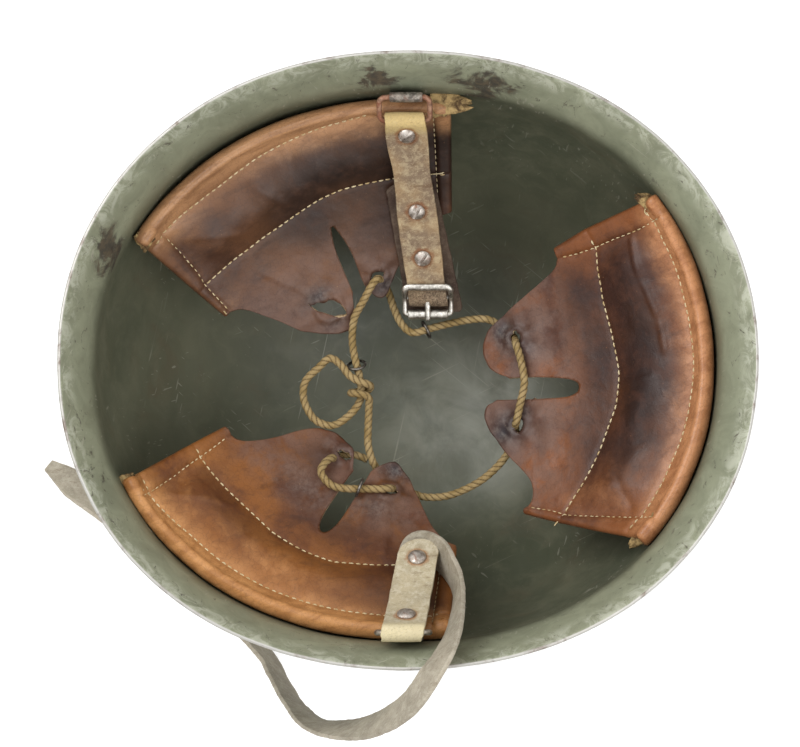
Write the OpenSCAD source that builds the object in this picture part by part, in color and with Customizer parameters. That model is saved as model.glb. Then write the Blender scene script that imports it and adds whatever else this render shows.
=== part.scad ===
// Steel helmet with a three-pad leather liner, lying on its crown.
// Crown at the origin, opening up (+Z), front toward -Y, the wearer's right toward +X.
// A bearing is counted in degrees from the front toward the wearer's right.

/* [Shell] */
// Length of the rim, front to back, without the visor
shell_l = 288; // [270:1:305]
// Width of the rim
shell_w = 257; // [245:1:270]
// Height from the crown to the side rim
shell_h = 160; // [150:1:175]
// Thickness of the sheet steel
wall = 1.5; // [1.2:0.1:2]
// Width of the flared skirt, seen from above
flare_w = 9.5; // [7:0.5:11]
// Height of the flared skirt
flare_h = 32; // [28:1:38]
// How far the visor stands out past the rest of the rim
visor_w = 2.4; // [0:0.2:4]
// How much flatter the dome is at the forehead
brow_in = 1.5; // [0:0.5:3]
// How far the front rim stands back from the side rim
visor_rise = 8; // [0:1:12]
// Radius of the small flat on the crown
crown_flat_r = 12; // [9:1:16]

/* [Liner rivets] */
// Diameter of a rivet shank
rivet_d = 4; // [3:0.5:5]
// Diameter of the domed head outside
rivet_head_d = 9; // [7.5:0.5:12]
// Height of the domed head
rivet_head_h = 2.4; // [1.8:0.2:3.4]
// Place of the rivets across a pad, as a share of half its width
rivet_share = 0.87; // [0.82:0.01:0.9]
// Depth of the rivets below the pad's outer edge
rivet_drop = 18; // [17:1:20]

/* [Pads] */
// Width of a pad along its outer edge
pad_w = 147; // [136:1:150]
// Distance from the side rim down to the pad's outer edge
pad_depth = 36; // [34:1:42]
// How far a pad hangs down from its outer edge to the tongue tips
pad_drop = 57; // [50:1:64]
// Thickness of the pad leather
leather_t = 1.8; // [1.4:0.1:2.2]
// Height that the wadding lifts the leather
pad_loft = 6; // [3:0.5:7]
// Radius of the rolled outer edge
roll_r = 3; // [2.8:0.1:3.4]
// Width of the slot between the two tongues
slot_w = 8; // [5:0.5:10]
// Diameter of a lace hole
lace_hole_d = 7; // [6:0.5:8.5]
// Thickness of the steel pad plate
plate_t = 1; // [0.8:0.1:1.2]
// Thickness of the lining
lining_t = 0.9; // [0.6:0.1:1.2]

/* [Lace] */
// Diameter of the lace
lace_d = 3.5; // [3:0.1:3.8]
// Outer diameter of a wire ring on the lace
ring_d = 9; // [8.6:0.2:10]
// Wire diameter of a ring on the lace
ring_wire_d = 1.3; // [1:0.1:1.5]

/* [Chin strap loops] */
// Wire diameter of a strap loop
loop_wire_d = 2.4; // [2:0.1:2.8]
// Width of a strap loop over its wire
loop_w = 24; // [22.5:0.5:27]
// Height of a strap loop between the centres of its bars
loop_h = 11.6; // [10.8:0.2:13]
// Thickness of the bracket sheet
bracket_t = 0.9; // [0.7:0.1:1.1]
// Width of a bracket and its curled sleeve
bracket_w = 14; // [10:0.5:14.5]
// Distance from the side rim down to the sleeve
sleeve_depth = 23; // [20:1:25]

/* [Chin strap] */
// Width of the straps
strap_w = 17; // [15:0.5:18]
// Thickness of the straps
strap_t = 2.4; // [1.8:0.1:2.8]
// Length of the buckle strap between its two bars
buckle_strap_l = 88; // [80:1:92]
// Length of the riveted leg of the long strap
riveted_leg_l = 62; // [60:1:68]
// Width of the guard flap behind the buckle
guard_w = 24; // [20:0.5:28]
// Thickness of the guard flap
guard_t = 2; // [1.6:0.1:2.4]
// Diameter of the strap screw and rivet heads
strap_head_d = 8; // [6:0.5:9]

/* [Buckle] */
// Width of the buckle over its sides
buckle_w = 22.6; // [21.5:0.2:26]
// Wire diameter of the buckle bars
buckle_bar_d = 2.2; // [1.8:0.1:2.4]
// Distance from the centre bar to the roller
roller_reach = 7.6; // [7.4:0.1:9]
// Outer diameter of the roller
roller_d = 4.4; // [4:0.1:4.8]
// Width of the prong
prong_w = 2.4; // [2:0.1:3]

/* [Hidden] */
$fn = 32;

// Gap between parts that touch or slide past one another
fit = 0.3;
// Play of a bar in the tube that turns on it, on the radius
bar_play = 0.1;
// Play of a rivet or screw in its hole, on the radius
hole_play = 0.2;

// Squareness of the rim outline and of the dome, where 2 is an ellipse
rim_n = 2.1;
dome_n = 2.2;
// How late the skirt curls outward
flare_n = 1.7;
shell_sides = 64;
dome_rows = 12;
flare_rows = 5;
brow_z = shell_h - flare_h;

function dir(b) = [sin(b), -cos(b), 0];
function unit(v) = v / norm(v);
function at_front(b) = pow(max(0, cos(b)), 2);
function lerp(a, b, t) = a + (b - a) * t;

// Outline of the rim and of the dome under the skirt, by bearing
function outline_r(b) = pow(pow(abs(sin(b)) / (shell_w / 2), rim_n)
    + pow(abs(cos(b)) / (shell_l / 2), rim_n), -1 / rim_n);
function rim_r(b) = outline_r(b) + visor_w * at_front(b);
function rim_z(b) = shell_h - visor_rise * at_front(b);
function dome_r(b) = outline_r(b) - flare_w - brow_in * at_front(b);
function skirt_w(b) = rim_r(b) - dome_r(b);

// The dome starts at the edge of the crown flat
dome_start = asin(pow(crown_flat_r / dome_r(90), dome_n / 2));
crown_cut = brow_z * (1 - pow(cos(dome_start), 2 / dome_n));

// Outer meridian as [radius, height]: u runs from 0 at the crown over 1 at the brow to 2 at the rim
function meridian(b, u) = u <= 1
    ? let (t = lerp(dome_start, 90, u))
        [dome_r(b) * pow(sin(t), 2 / dome_n), brow_z * (1 - pow(cos(t), 2 / dome_n)) - crown_cut]
    : [dome_r(b) + skirt_w(b) * pow(u - 1, flare_n), lerp(brow_z - crown_cut, rim_z(b), u - 1)];
function meridian_normal(b, u) = let (d = meridian(b, min(2, u + 0.01)) - meridian(b, max(0, u - 0.01)))
    unit([d[1], -d[0]]);
function inner_meridian(b, u) = u == 0 ? meridian(b, 0) + [0, wall]
    : u == 2 ? meridian(b, 2) - [wall / meridian_normal(b, 2)[0], 0]
    : meridian(b, u) - wall * meridian_normal(b, u);
function around(b, rz) = rz[0] * dir(b) + [0, 0, rz[1]];

// Radius of the shell at a height, outside and inside
function outer_r(b, z) = z <= brow_z - crown_cut
    ? dome_r(b) * pow(1 - pow(1 - (z + crown_cut) / brow_z, dome_n), 1 / dome_n)
    : dome_r(b) + skirt_w(b) * pow((z - brow_z + crown_cut) / (rim_z(b) - brow_z + crown_cut), flare_n);
function inner_r(b, z) = outer_r(b, z) - wall;
function shell_pt(b, z) = outer_r(b, z) * dir(b) + [0, 0, z];
function shell_normal(b, z) = unit(cross(shell_pt(b, z + 0.5) - shell_pt(b, z - 0.5),
    shell_pt(b - 0.5, z) - shell_pt(b + 0.5, z)));

// A closed sheet between two equal grids of points; a is the side that the rows turn clockwise on
module sheet_solid(a, b) {
    rows = len(a);
    cols = len(a[0]);
    count = rows * cols;
    function id(i, j) = i * cols + j;
    border = concat(
        [for (j = [0:cols - 2]) [id(0, j), id(0, j + 1)]],
        [for (i = [0:rows - 2]) [id(i, cols - 1), id(i + 1, cols - 1)]],
        [for (j = [cols - 1:-1:1]) [id(rows - 1, j), id(rows - 1, j - 1)]],
        [for (i = [rows - 1:-1:1]) [id(i, 0), id(i - 1, 0)]]);
    polyhedron(
        points = concat([for (r = a) each r], [for (r = b) each r]),
        faces = concat(
            [for (i = [0:rows - 2], j = [0:cols - 2]) each [
                [id(i, j), id(i, j + 1), id(i + 1, j + 1)],
                [id(i, j), id(i + 1, j + 1), id(i + 1, j)],
                [count + id(i, j), count + id(i + 1, j + 1), count + id(i, j + 1)],
                [count + id(i, j), count + id(i + 1, j), count + id(i + 1, j + 1)]]],
            [for (e = border) each [
                [e[1], e[0], count + e[0]],
                [e[1], count + e[0], count + e[1]]]]),
        convexity = 6);
}

// A closed tube through rings of points, all with the same number of points
module tube_solid(rings) {
    sides = len(rings[0]);
    last = len(rings) - 1;
    polyhedron(
        points = [for (r = rings) each r],
        faces = concat(
            [[for (j = [0:sides - 1]) j]],
            [[for (j = [sides - 1:-1:0]) last * sides + j]],
            [for (i = [0:last - 1], j = [0:sides - 1]) let (k = (j + 1) % sides) each [
                [i * sides + j, (i + 1) * sides + k, i * sides + k],
                [i * sides + j, (i + 1) * sides + j, (i + 1) * sides + k]]]),
        convexity = 8);
}

// Turns the Z axis onto a direction and moves to a point
module at(p, d) {
    translate(p) rotate([0, acos(d[2]), atan2(d[1], d[0])]) children();
}

// A low domed head whose flat side lies at the origin
module dome_head(d, h) {
    r = (d * d / 4 + h * h) / (2 * h);
    intersection() {
        translate([0, 0, h - r]) sphere(r = r);
        cylinder(d = d, h = h + 1);
    }
}

// Liner rivets, their places and their holes

pad_names = ["front", "right", "left"];
pad_bearing = [0, 118.8, 241.2];
pad_z = shell_h - pad_depth;
function pad_half(k) = asin(pad_w / 2 / dome_r(pad_bearing[k] + (k == 0 ? 33 : 0)));
// The rivet beside a bracket goes through its middle
function rivet_b(k, side) = k > 0 && side * sin(pad_bearing[k]) < 0 ? (k == 1 ? 90 : 270)
    : pad_bearing[k] + side * rivet_share * pad_half(k);
rivet_bearings = [for (k = [0:2], side = [-1, 1]) rivet_b(k, side)];
rivet_z = pad_z - rivet_drop;
function rivet_pt(b) = shell_pt(b, rivet_z);
function rivet_dir(b) = shell_normal(b, rivet_z);
// The pad plates stand off the wall by the bracket sheet and its play
plate_gap = bracket_t + 3 * fit;

module rivet_hole(b, d) {
    at(rivet_pt(b), rivet_dir(b)) translate([0, 0, -20]) cylinder(d = d, h = 30);
}

module rivet_holes(d) {
    for (b = rivet_bearings) rivet_hole(b, d);
}

module shell() {
    rows = dome_rows + flare_rows;
    function u(i) = i <= dome_rows ? i / dome_rows : 1 + (i - dome_rows) / flare_rows;
    function b(j) = 360 * j / shell_sides;
    outer = [for (i = [0:rows]) [for (j = [0:shell_sides - 1]) around(b(j), meridian(b(j), u(i)))]];
    inner = [for (i = [rows:-1:0]) [for (j = [0:shell_sides - 1]) around(b(j), inner_meridian(b(j), u(i)))]];
    color("olivedrab") difference() {
        tube_solid(concat(outer, inner));
        rivet_holes(rivet_d + 2 * hole_play);
    }
}

module liner_rivet(b, shoulder) {
    inside = wall + plate_gap + plate_t + 2 * fit;
    at(rivet_pt(b), rivet_dir(b)) {
        translate([0, 0, 0.05]) dome_head(rivet_head_d, rivet_head_h);
        translate([0, 0, -inside - 1]) cylinder(d = rivet_d, h = inside + 1.5);
        translate([0, 0, -inside - 1]) cylinder(d = rivet_d + 3, h = 1);
        if (shoulder)
            translate([0, 0, -wall - plate_gap + fit]) cylinder(d = rivet_d + 3, h = plate_gap - 3 * fit);
    }
}

module liner_rivets() {
    color("darkolivegreen")
        for (b = rivet_bearings) liner_rivet(b, abs(cos(b)) > 0.1);
}

// Pads. s runs from -1 to 1 along a pad, v from 0 at the outer edge to 1 at the tongue tips

// Stitch lines, as shares of the way from the outer edge to the tips
stitch_1 = 0.08;
stitch_2 = 0.37;
// How the tongues of each pad hang: distance of their tips from the axis, their sideways shift,
// the place of each tip across the pad and half the spacing of the two lace holes
tip_r = [33, 33, 38];
tip_shift = [-4, 5.3, 1.9];
lobe_s = [0.43, 0.34, 0.34];
hole_half = [19, 12.5, 15];
// Half the width that the two end hems would have left at the tips
tip_half = 40;
// How far the outline is cut back at the hems
hem_cut = 0.36;
// Where the lace holes and the slot's end lie on the way to the tips
hole_v = 0.86;
slot_v = 0.57;
// Distance of the base surface from the middle of the leather
skin_mid = 1.5;
// The rolled edge clears the bracket behind it
edge_in = plate_gap + roll_r * 2 + leather_t / 2 - skin_mid;

function edge_pt(k, s) = let (b = pad_bearing[k] + pad_half(k) * s)
    (inner_r(b, pad_z) - edge_in) * dir(b) + [0, 0, pad_z];
function tip_pt(k, s) = tip_r[k] * dir(pad_bearing[k])
    + (tip_shift[k] + tip_half * s) * dir(pad_bearing[k] + 90) + [0, 0, pad_z];
function base(k, s, v) = lerp(edge_pt(k, s), tip_pt(k, s), v) - [0, 0, pad_drop * pow(v, 0.75)];
function base_normal(k, s, v) = let (w = max(v, 0.004))
    unit(cross(base(k, s + 0.01, v) - base(k, s - 0.01, v), base(k, s, w + 0.003) - base(k, s, w - 0.003)));
// Height of the wadding between the two stitch lines
function loft(s, v) = v <= stitch_1 || v >= stitch_2 ? 0
    : pad_loft * pow(sin(180 * (v - stitch_1) / (stitch_2 - stitch_1)), 0.8) * (1 - pow(abs(s), 2.5));
function over(k, s, v, h) = base(k, s, v) + h * base_normal(k, s, v);
// Outline of the tongues
function outline(k, s) = let (tip = lobe_s[k]) abs(s) >= tip
    ? 1 - hem_cut * pow((abs(s) - tip) / (1 - tip), 1.3)
    : 1 - 0.1 * pow((tip - abs(s)) / tip, 2.5);

// Rows of the leather: down the back of the plate, over the rolled edge, then down the front
leg = 8;
leg_rows = [for (i = [0, 1]) leg * (1 - i / 2)];
roll_rows = [for (i = [0:5]) 180 - 30 * i];
front_rows = concat([0, 0.02, 0.045], [for (i = [0:5]) lerp(stitch_1, stitch_2, i / 5)]);
tongue_rows = [for (i = [1:6]) i / 6];

function rolled(k, s, angle, h) = let (n = base_normal(k, s, 0))
    edge_pt(k, s) + (skin_mid - roll_r + (roll_r + h) * cos(angle)) * n + [0, 0, (roll_r + h) * sin(angle)];
function skin_row(k, h, cols) = concat(
    [for (d = leg_rows) [for (s = cols) rolled(k, s, 180, h) - [0, 0, d]]],
    [for (a = roll_rows) [for (s = cols) rolled(k, s, a, h)]],
    [for (v = front_rows) [for (s = cols) over(k, s, v, skin_mid + h + loft(s, v))]],
    [for (f = tongue_rows) [for (s = cols) over(k, s, lerp(stitch_2, outline(k, s), f), skin_mid + h)]]);

function hole_pt(k, side) = lerp(edge_pt(k, 0), tip_pt(k, 0), hole_v)
    + side * hole_half[k] * dir(pad_bearing[k] + 90);

module tongue_cuts(k) {
    inner = lerp(edge_pt(k, 0), tip_pt(k, 0), slot_v);
    outer = lerp(edge_pt(k, 0), tip_pt(k, 0), 1.2);
    way = outer - inner;
    translate([inner[0], inner[1], 0]) {
        cylinder(d = slot_w, h = pad_z);
        rotate([0, 0, atan2(way[1], way[0])])
            translate([0, -slot_w / 2, 0]) cube([norm(way), slot_w, pad_z]);
    }
    for (side = [-1, 1])
        translate([hole_pt(k, side)[0], hole_pt(k, side)[1], 0]) cylinder(d = lace_hole_d, h = pad_z);
}

module pad_leather(k) {
    cols = [for (j = [-8:8]) j / 8];
    color("sienna") difference() {
        sheet_solid(skin_row(k, -leather_t / 2, cols), skin_row(k, leather_t / 2, cols));
        tongue_cuts(k);
    }
}

// Faces of the wadding, clear of the leather and the lining
function cushion_top(s, v) = skin_mid - leather_t / 2 - 2 * fit + loft(s, v);
function cushion_bottom(s, v) = -2 * fit - 0.4 * loft(s, v);

module pad_cushion(k) {
    cols = [for (j = [-7:7]) 0.92 * j / 7];
    rows = [for (i = [0:5]) lerp(stitch_1 + 0.015, stitch_2 - 0.015, i / 5)];
    color("wheat") sheet_solid(
        [for (v = rows) [for (s = cols) over(k, s, v, cushion_bottom(s, v))]],
        [for (v = rows) [for (s = cols) over(k, s, v, cushion_top(s, v))]]);
}

module pad_lining(k) {
    cols = [for (j = [-7:7]) 0.98 * j / 7];
    rows = [for (i = [0:5]) lerp(stitch_1 - 0.02, stitch_2 + 0.03, i / 5)];
    color("tan") sheet_solid(
        [for (v = rows) [for (s = cols) over(k, s, v, cushion_bottom(s, v) - 2 * fit - lining_t)]],
        [for (v = rows) [for (s = cols) over(k, s, v, cushion_bottom(s, v) - 2 * fit)]]);
}

// The plate hangs in the rolled edge and is set back to the wall below it
module pad_plate(k) {
    cols = [for (j = [-6:6]) 0.96 * j / 6];
    function in_roll(s, z, h) = let (n = base_normal(k, s, 0))
        edge_pt(k, s) + (skin_mid - roll_r + h) * n + [0, 0, z];
    function on_wall(s, z, h) = let (b = pad_bearing[k] + pad_half(k) * s)
        (inner_r(b, pad_z + z) - plate_gap - plate_t / 2 - h) * dir(b) + [0, 0, pad_z + z];
    function face(h) = [
        [for (s = cols) in_roll(s, 1, h)],
        [for (s = cols) in_roll(s, -leg - 1, h)],
        [for (s = cols) on_wall(s, -leg - 4, h)],
        [for (s = cols) on_wall(s, -rivet_drop - 5, h)]];
    color("dimgray") difference() {
        sheet_solid(face(-plate_t / 2), face(plate_t / 2));
        for (side = [-1, 1]) rivet_hole(rivet_b(k, side), rivet_d + 2 * hole_play);
    }
}

// Brackets and wire loops, drawn on the wearer's right and mirrored for the left

sleeve_z = shell_h - sleeve_depth;
sleeve_wall = 0.9 * bracket_t;
sleeve_d = loop_wire_d + 2 * bar_play + 2 * sleeve_wall;
sleeve_x = inner_r(90, sleeve_z) - 3.2 - sleeve_d / 2;
bracket_low = rivet_z - 6;

module bracket() {
    heights = [brow_z + 3, brow_z - 4, lerp(brow_z, bracket_low, 0.5), bracket_low];
    outer = concat([[sleeve_x + sleeve_d / 2, sleeve_z]], [for (z = heights) [inner_r(90, z) - 2 * fit, z]]);
    inner = [for (i = [len(outer) - 1:-1:0]) outer[i] - [bracket_t, 0]];
    color("gray") difference() {
        union() {
            rotate([90, 0, 0]) linear_extrude(bracket_w, center = true) polygon(concat(outer, inner));
            translate([sleeve_x, 0, sleeve_z]) rotate([90, 0, 0])
                cylinder(d = sleeve_d, h = bracket_w, center = true);
        }
        translate([sleeve_x, 0, sleeve_z]) rotate([90, 0, 0])
            cylinder(d = loop_wire_d + 2 * bar_play, h = bracket_w + 2, center = true);
        rivet_hole(90, rivet_d + 2 * hole_play);
    }
}

module right_bracket() { bracket(); }
module left_bracket() { mirror([1, 0, 0]) bracket(); }

corner_r = 2.6;
// A wire loop whose sleeve bar lies on the origin along Y; the strap bar lies loop_h above it
module wire_loop() {
    w = loop_w - loop_wire_d;
    color("rosybrown") for (side = [-1, 1], end = [0, 1])
        translate([0, side * w / 2, end * loop_h]) mirror([0, side < 0 ? 1 : 0, 0]) mirror([0, 0, end]) {
            translate([0, -corner_r, corner_r]) rotate([0, 90, 0])
                rotate_extrude(angle = 90) translate([corner_r, 0]) circle(d = loop_wire_d);
            translate([0, -corner_r, 0]) rotate([90, 0, 0]) cylinder(d = loop_wire_d, h = w / 2 - corner_r);
            translate([0, 0, corner_r]) cylinder(d = loop_wire_d, h = loop_h / 2 - corner_r);
        }
}

// Lean of each loop from straight up toward the middle of the helmet
right_lean = 131;
left_lean = 0;
// The loops have slid a little to the back in their sleeves
loop_y = [0.8, 0.9];

module right_wire_loop() {
    translate([sleeve_x, loop_y[0], sleeve_z]) rotate([0, -right_lean, 0]) wire_loop();
}
module left_wire_loop() {
    translate([-sleeve_x, loop_y[1], sleeve_z]) rotate([0, left_lean, 0]) wire_loop();
}

// Straps. A strap lies along an arc in the plane Y = 0: s is the distance from its bar, q the height above

fold_r = loop_wire_d / 2 + fit + strap_t / 2;
lap_q = strap_t / 2 + fit / 2;

// Right: place of the strap bar, slope at the bar and at the buckle
right_bar = [sleeve_x - loop_h * sin(right_lean), sleeve_z + loop_h * cos(right_lean)];
right_slope = [48, 26];
// Left: the riveted leg, mirrored
left_bar = [sleeve_x - loop_h * sin(left_lean), sleeve_z + loop_h * cos(left_lean)];
left_slope = [67, 36];
left_arc_l = 60;
// Sideways lean of the two straps, and their places across at the middle of the helmet
right_skew = 0.113;
right_y = loop_y[0] - right_skew * right_bar[0];
left_skew = -0.14;
left_y = loop_y[1] + left_skew * left_bar[0];

function arc_slope(slope, l, s) = slope[0] - (slope[0] - slope[1]) * s / l;
function arc_pt(bar, slope, l, s, q) =
    let (r = l / ((slope[0] - slope[1]) * PI / 180), a = arc_slope(slope, l, s))
    [bar[0] + r * (sin(a) - sin(slope[0])), bar[1] - r * (cos(a) - cos(slope[0]))] + q * [-sin(a), cos(a)];
function right_pt(s, q) = let (p = arc_pt(right_bar, right_slope, buckle_strap_l, s, q))
    [p[0], right_y + right_skew * p[0], p[1]];
function left_pt(s, q) = let (p = arc_pt(left_bar, left_slope, left_arc_l, s, q))
    [-p[0], left_y + left_skew * -p[0], p[1]];

// A flat band through points, its width along Y; path holds [point, width] pairs. Y grows with X by skew
module band(path, t, skew) {
    last = len(path) - 1;
    function n(i) = let (d = path[min(last, i + 1)][0] - path[max(0, i - 1)][0]) unit([-d[2], 0, d[0]]);
    function edge(i, across, up) = let (v = n(i) * up * t / 2)
        path[i][0] + v + [0, across * path[i][1] / 2 + skew * v[0], 0];
    tube_solid([for (i = [0:last]) [edge(i, -1, -1), edge(i, 1, -1), edge(i, 1, 1), edge(i, -1, 1)]]);
}

right_down = unit(right_pt(buckle_strap_l, 0) - right_pt(buckle_strap_l - 1, 0));
screw_s = [8.5, buckle_strap_l - 42, buckle_strap_l - 19];
prong_slot = prong_w + 1;

// Places on the right strap near its bar, as a fold around a bar at distance s0
function fold_pts(s0, from, to) = [for (i = [0:6]) let (a = lerp(from, to, i / 6))
    [s0 + fold_r * cos(a), fold_r * sin(a)]];

module right_hole(s, d) {
    a = arc_slope(right_slope, buckle_strap_l, s);
    at(right_pt(s, 0), [-sin(a), 0, cos(a)]) cylinder(d = d, h = 30, center = true);
}

// Local frame of the buckle: X down the strap, Z away from the guard, origin on the centre bar
module at_buckle() {
    translate(right_pt(buckle_strap_l, 0)) rotate([0, 180 - right_slope[1], 0]) mirror([0, 0, 1]) children();
}

module buckle_strap() {
    end = buckle_strap_l;
    function layer(side, stations) = [for (s = stations) [s, side * (lap_q + (s < 6 || s > end - 9 ? fit : 0))]];
    path = concat(
        layer(-1, [22, 14, 5]),
        fold_pts(0, 270, 90),
        layer(1, [5, 14, 22, 30, 38, 46, 54, 62, 70, end - 10, end - 6]),
        fold_pts(end, 90, -90),
        layer(-1, [end - 6, end - 10, 70, 62, 54, 46, 38]));
    color("tan") difference() {
        band([for (p = path) [right_pt(p[0], p[1]), strap_w]], strap_t, right_skew);
        for (s = screw_s) right_hole(s, screw_d + 2 * hole_play);
        at_buckle() translate([-5, -prong_slot / 2, -8]) cube([14, prong_slot, 16]);
    }
}

screw_d = 3;
guard_q = -lap_q - strap_t / 2 - fit - guard_t / 2;
guard_end = -fold_r - strap_t / 2 - fit - guard_t / 2;

module buckle_guard() {
    from = screw_s[1] - 10;
    to = screw_s[2] + 3;
    path = [[from, guard_w / 2], [from + 6, guard_w], [from + 16, guard_w], [to - 10, guard_w], [to, guard_w]];
    flat = [for (p = path) [right_pt(p[0], guard_q) + [0, -2, 0], p[1]]];
    low = [for (s = [buckle_strap_l - 4, buckle_strap_l + 2, buckle_strap_l + 8])
        [right_pt(s, guard_end) + [0, -2, 0], guard_w]];
    color("saddlebrown") difference() {
        band(concat(flat, low), guard_t, right_skew);
        for (s = [screw_s[1], screw_s[2]]) right_hole(s, screw_d + 2 * hole_play);
    }
}

// A slotted screw from its head on the strap to a button behind; depth is the thickness that it clamps
module strap_screw(top, bottom, slotted) {
    difference() {
        translate([0, 0, top]) dome_head(strap_head_d, 1.6);
        if (slotted) translate([0, 0, top + 1.6]) cube([strap_head_d + 1, 1, 1.6], center = true);
    }
    translate([0, 0, bottom - 0.5]) cylinder(d = screw_d, h = top - bottom + 1);
    translate([0, 0, bottom - 0.8]) cylinder(d = strap_head_d - 2, h = 0.8);
}

module buckle_screws() {
    color("silver") for (i = [0:2]) {
        a = arc_slope(right_slope, buckle_strap_l, screw_s[i]);
        at(right_pt(screw_s[i], 0), [-sin(a), 0, cos(a)])
            rotate([0, 0, 20 + 35 * i])
            strap_screw(lap_q + strap_t / 2 + (i == 0 ? 2 : 1.6) * fit,
                (i == 0 ? -lap_q - strap_t / 2 - fit : guard_q - guard_t / 2) - fit, true);
    }
}

// Buckle, drawn in its local frame

heel = [-6.6, fold_r + strap_t / 2 + 0.9];
roller_at = [roller_reach, 0.7];

module link(a, b, w) {
    d = b - a;
    translate(a) rotate(atan2(d[1], d[0])) translate([0, -w / 2]) square([norm(d), w]);
}

module buckle_frame() {
    side_t = 2.1;
    inner_w = buckle_w - 2 * side_t;
    color("silver") at_buckle() {
        for (side = [-1, 1]) translate([0, side * (inner_w + side_t) / 2, 0]) rotate([90, 0, 0])
            linear_extrude(side_t, center = true) union() {
                link(heel, [0, 0], buckle_bar_d);
                link([0, 0], roller_at, buckle_bar_d);
                for (p = [heel, [0, 0], roller_at]) translate(p) circle(d = buckle_bar_d + 0.4);
            }
        for (p = [heel, [0, 0], roller_at]) translate([p[0], 0, p[1]]) rotate([90, 0, 0])
            cylinder(d = buckle_bar_d, h = inner_w + side_t, center = true);
    }
}

module buckle_roller() {
    length = buckle_w - 2 * 2.1 - 2 * fit;
    color("gainsboro") at_buckle() translate([roller_at[0], 0, roller_at[1]]) rotate([90, 0, 0])
        difference() {
            cylinder(d = roller_d, h = length, center = true);
            cylinder(d = buckle_bar_d + 2 * bar_play, h = length + 1, center = true);
        }
}

module buckle_prong() {
    eye = buckle_bar_d + 2 * bar_play + 1.8;
    tip = [roller_at[0] + 1.2, roller_at[1] + roller_d / 2 + 3 * fit + 0.9];
    root = [0, eye / 2 - 0.8];
    color("silver") at_buckle() rotate([90, 0, 0]) linear_extrude(prong_w, center = true) difference() {
        union() {
            circle(d = eye);
            link(root, tip, 1.6);
            translate(tip) circle(d = 1.6);
        }
        circle(d = buckle_bar_d + 2 * bar_play);
    }
}

// Long strap: the leg folded round the left loop and riveted

leg_rivet_s = [15.5, riveted_leg_l - 10];
run_start = riveted_leg_l - 8;

module long_strap_fold() {
    tip = [[riveted_leg_l, 7], [riveted_leg_l - 1.2, 12], [riveted_leg_l - 4, 16], [riveted_leg_l - 8, strap_w]];
    stations = [6, 12, 18, 25, 32, 39, 45, 50];
    top = concat([for (p = tip) [[p[0], lap_q], p[1]]],
        [for (i = [len(stations) - 1:-1:0]) [[stations[i], lap_q + (i == 0 ? fit : 0)], strap_w]]);
    bend = [for (p = fold_pts(0, 90, 270)) [p, strap_w]];
    under = concat([for (s = stations) [[s, -lap_q - (s < 9 ? fit : 0)], strap_w]],
        [[[run_start, -lap_q], strap_w]]);
    color("burlywood") difference() {
        band([for (p = concat(top, bend, under)) [left_pt(p[0][0], p[0][1]), p[1]]], strap_t, left_skew);
        for (s = leg_rivet_s) left_hole(s);
    }
}

module at_left(s) {
    a = arc_slope(left_slope, left_arc_l, s);
    at(left_pt(s, 0), [sin(a), 0, cos(a)]) children();
}

module left_hole(s) {
    at_left(s) cylinder(d = screw_d + 2 * hole_play, h = 30, center = true);
}

module long_strap_rivets() {
    color("silver") for (s = leg_rivet_s) at_left(s)
        strap_screw(lap_q + strap_t / 2 + 1.6 * fit, -lap_q - strap_t / 2 - fit, false);
}

// Free run of the long strap: [x, y, z, roll], where roll 0 lies flat and 90 stands on edge
run_route = [
    [-73.5, -5.5, 97.2, 12], [-75.5, -13.5, 102.5, 52], [-83.5, -18, 111, 70],
    [-94, -21, 123, 76], [-104.5, -21, 139, 74], [-116, -18.5, 158, 68], [-128, -12.5, 170.5, 62],
    [-142.5, -2.5, 163, 60], [-153, 11.5, 140, 62], [-158.5, 27.5, 110, 70],
    [-158, 43, 78, 78], [-150, 54.5, 50, 80], [-139, 63, 30, 77], [-125, 72, 16, 75],
    [-105, 92, 10.5, 75], [-80, 122, 9.5, 72], [-58, 148, 9, 60], [-44, 165, 6, 35], [-36, 177, 3.5, 15]];
run_steps = 2;

function spline(p, i, t) = let (last = len(p) - 1,
    a = p[max(0, i - 1)], b = p[i], c = p[i + 1], d = p[min(last, i + 2)])
    0.5 * (2 * b + (c - a) * t + (2 * a - 5 * b + 4 * c - d) * t * t + (3 * b - a - 3 * c + d) * t * t * t);
function resample(p, steps) = concat(
    [for (i = [0:len(p) - 2], j = [0:steps - 1]) spline(p, i, j / steps)], [p[len(p) - 1]]);

module long_strap_run() {
    start = left_pt(run_start + 2 * fit, -lap_q);
    ahead = left_pt(run_start + 4, -lap_q - 0.8);
    route = resample(concat([concat(start, [0]), concat(ahead, [0])], run_route), run_steps);
    last = len(route) - 1;
    function p(i) = [for (j = [0:2]) route[i][j]];
    function along(i) = i == 0 ? unit(left_pt(run_start, 0) - left_pt(run_start - 1, 0))
        : unit(p(min(last, i + 1)) - p(i - 1));
    function across(i) = let (t = along(i), side = i == 0 ? [0, 1, 0] : unit(cross([0, 0, 1], t)),
        up = cross(t, side))
        cos(route[i][3]) * side + sin(route[i][3]) * up;
    function w(i) = strap_w * min(1, (i > last - 4 ? 0.35 + 0.16 * (last - i) : 1));
    color("burlywood") tube_solid([for (i = [0:last]) let (c = p(i), a = across(i) * w(i) / 2,
        n = unit(cross(along(i), across(i))) * strap_t / 2) [c - a - n, c + a - n, c + a + n, c - a + n]]);
}

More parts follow.
